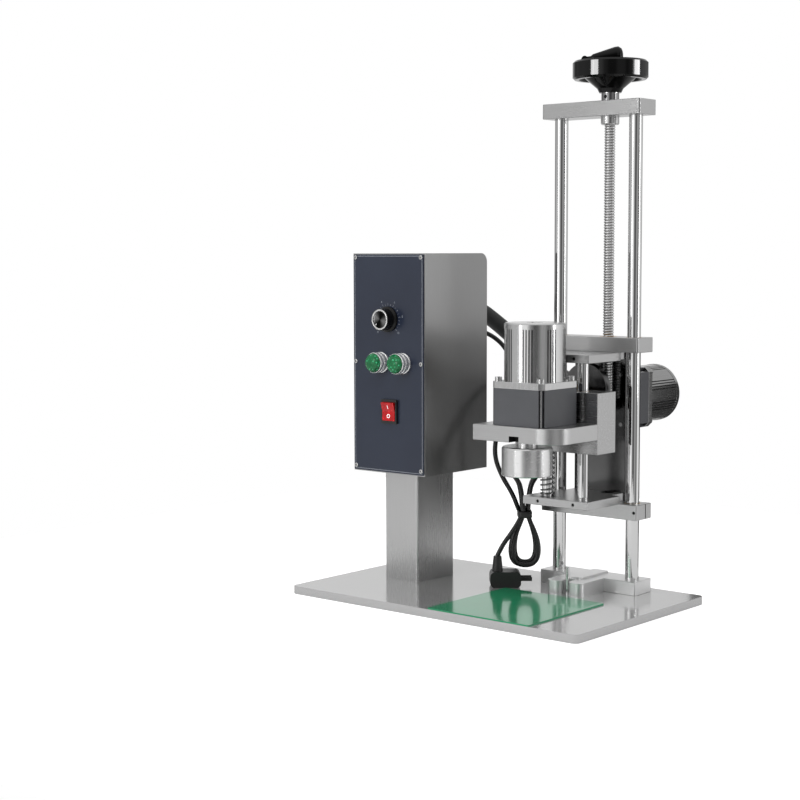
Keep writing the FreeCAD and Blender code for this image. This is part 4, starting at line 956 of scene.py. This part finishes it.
def card(name, bottom, top, level):
    """An upright card that only reflections see."""
    out = toward(CARD_BEARING)
    side = Vector((out.y, -out.x, 0))
    foot = out * CARD_DISTANCE
    corners = [foot + side * across + Vector((0, 0, height)) for across, height in
               ((CARD_LEFT, bottom), (CARD_RIGHT, bottom), (CARD_RIGHT, top), (CARD_LEFT, top))]
    card_finish = Finish(name + "_card", Roughness=1.0, Emission_Strength=1.0)
    card_finish.set(Base_Color=tint(0), Emission_Color=(level, level, level, 1.0))
    made = add_piece(name, corners, [(0, 1, 2, 3)], card_finish, smooth=False)
    made.visible_camera = False
    made.visible_diffuse = False
    made.visible_shadow = False
    made.visible_transmission = False


def floor():
    """Pale floor, white to the camera, that keeps the machine's shadow."""
    half, z = FLOOR_HALF, -FLOOR_DROP
    corners = [(-half, -half, z), (half, -half, z), (half, half, z), (-half, half, z)]
    finish = Finish("floor", Roughness=0.9)
    seen = finish.node("ShaderNodeLightPath", output="Is Camera Ray")
    mirrored = finish.node("ShaderNodeLightPath", output="Is Glossy Ray")
    finish.set(Base_Color=finish.blend(mirrored, FLOOR_GREY, FLOOR_MIRRORED))
    lift = (seen + mirrored * FLOOR_LIFT).within()
    finish.set(Emission_Color=finish.blend(lift, tint(0), FLOOR_GREY), Emission_Strength=1.0)
    add_piece("floor", corners, [(0, 1, 2, 3)], finish, smooth=False)


def surroundings():
    """World: white to the camera, and a grey room with brighter and darker walls to the machine."""
    world = bpy.data.worlds.new("studio")
    bpy.context.scene.world = world
    world.use_nodes = True
    room = Nodes(world.node_tree, "Generated")
    x, y, z = (room.axis(letter) for letter in "XYZ")
    ahead = x * CAMERA_SIDE.x + y * CAMERA_SIDE.y
    aside = x * CAMERA_RIGHT.x + y * CAMERA_RIGHT.y
    bearing = room.node("ShaderNodeMath", {"operation": "ARCTAN2"}, {0: aside, 1: ahead})
    walls = room.node("ShaderNodeValToRGB", {"stops": [(0.5 + b / 360, level) for b, level in ROOM]},
                      {0: bearing / (2 * math.pi) + 0.5})
    grey = room.node("ShaderNodeSeparateXYZ", {}, {0: walls}, output="X")
    high = (z * CEILING_SLOPE - CEILING_START).within()
    level = grey * (1 - high) + high * CEILING
    seen = room.node("ShaderNodeLightPath", output="Is Camera Ray")
    strength = level * (1 - seen) + seen
    light = room.node("ShaderNodeBackground", {}, {"Color": (1, 1, 1, 1), "Strength": strength})
    end = room.tree.nodes.new("ShaderNodeOutputWorld")
    room.tree.links.new(light.socket, end.inputs["Surface"])


camera()
surroundings()
floor()
for row in LAMPS:
    softbox(*row)
for row in WHEEL_LAMPS:
    only_for(softbox(*row), "handwheel")
for row in CARDS:
    card(*row)

scene = bpy.context.scene
scene.view_settings.view_transform = "Standard"
bpy.context.view_layer.update()
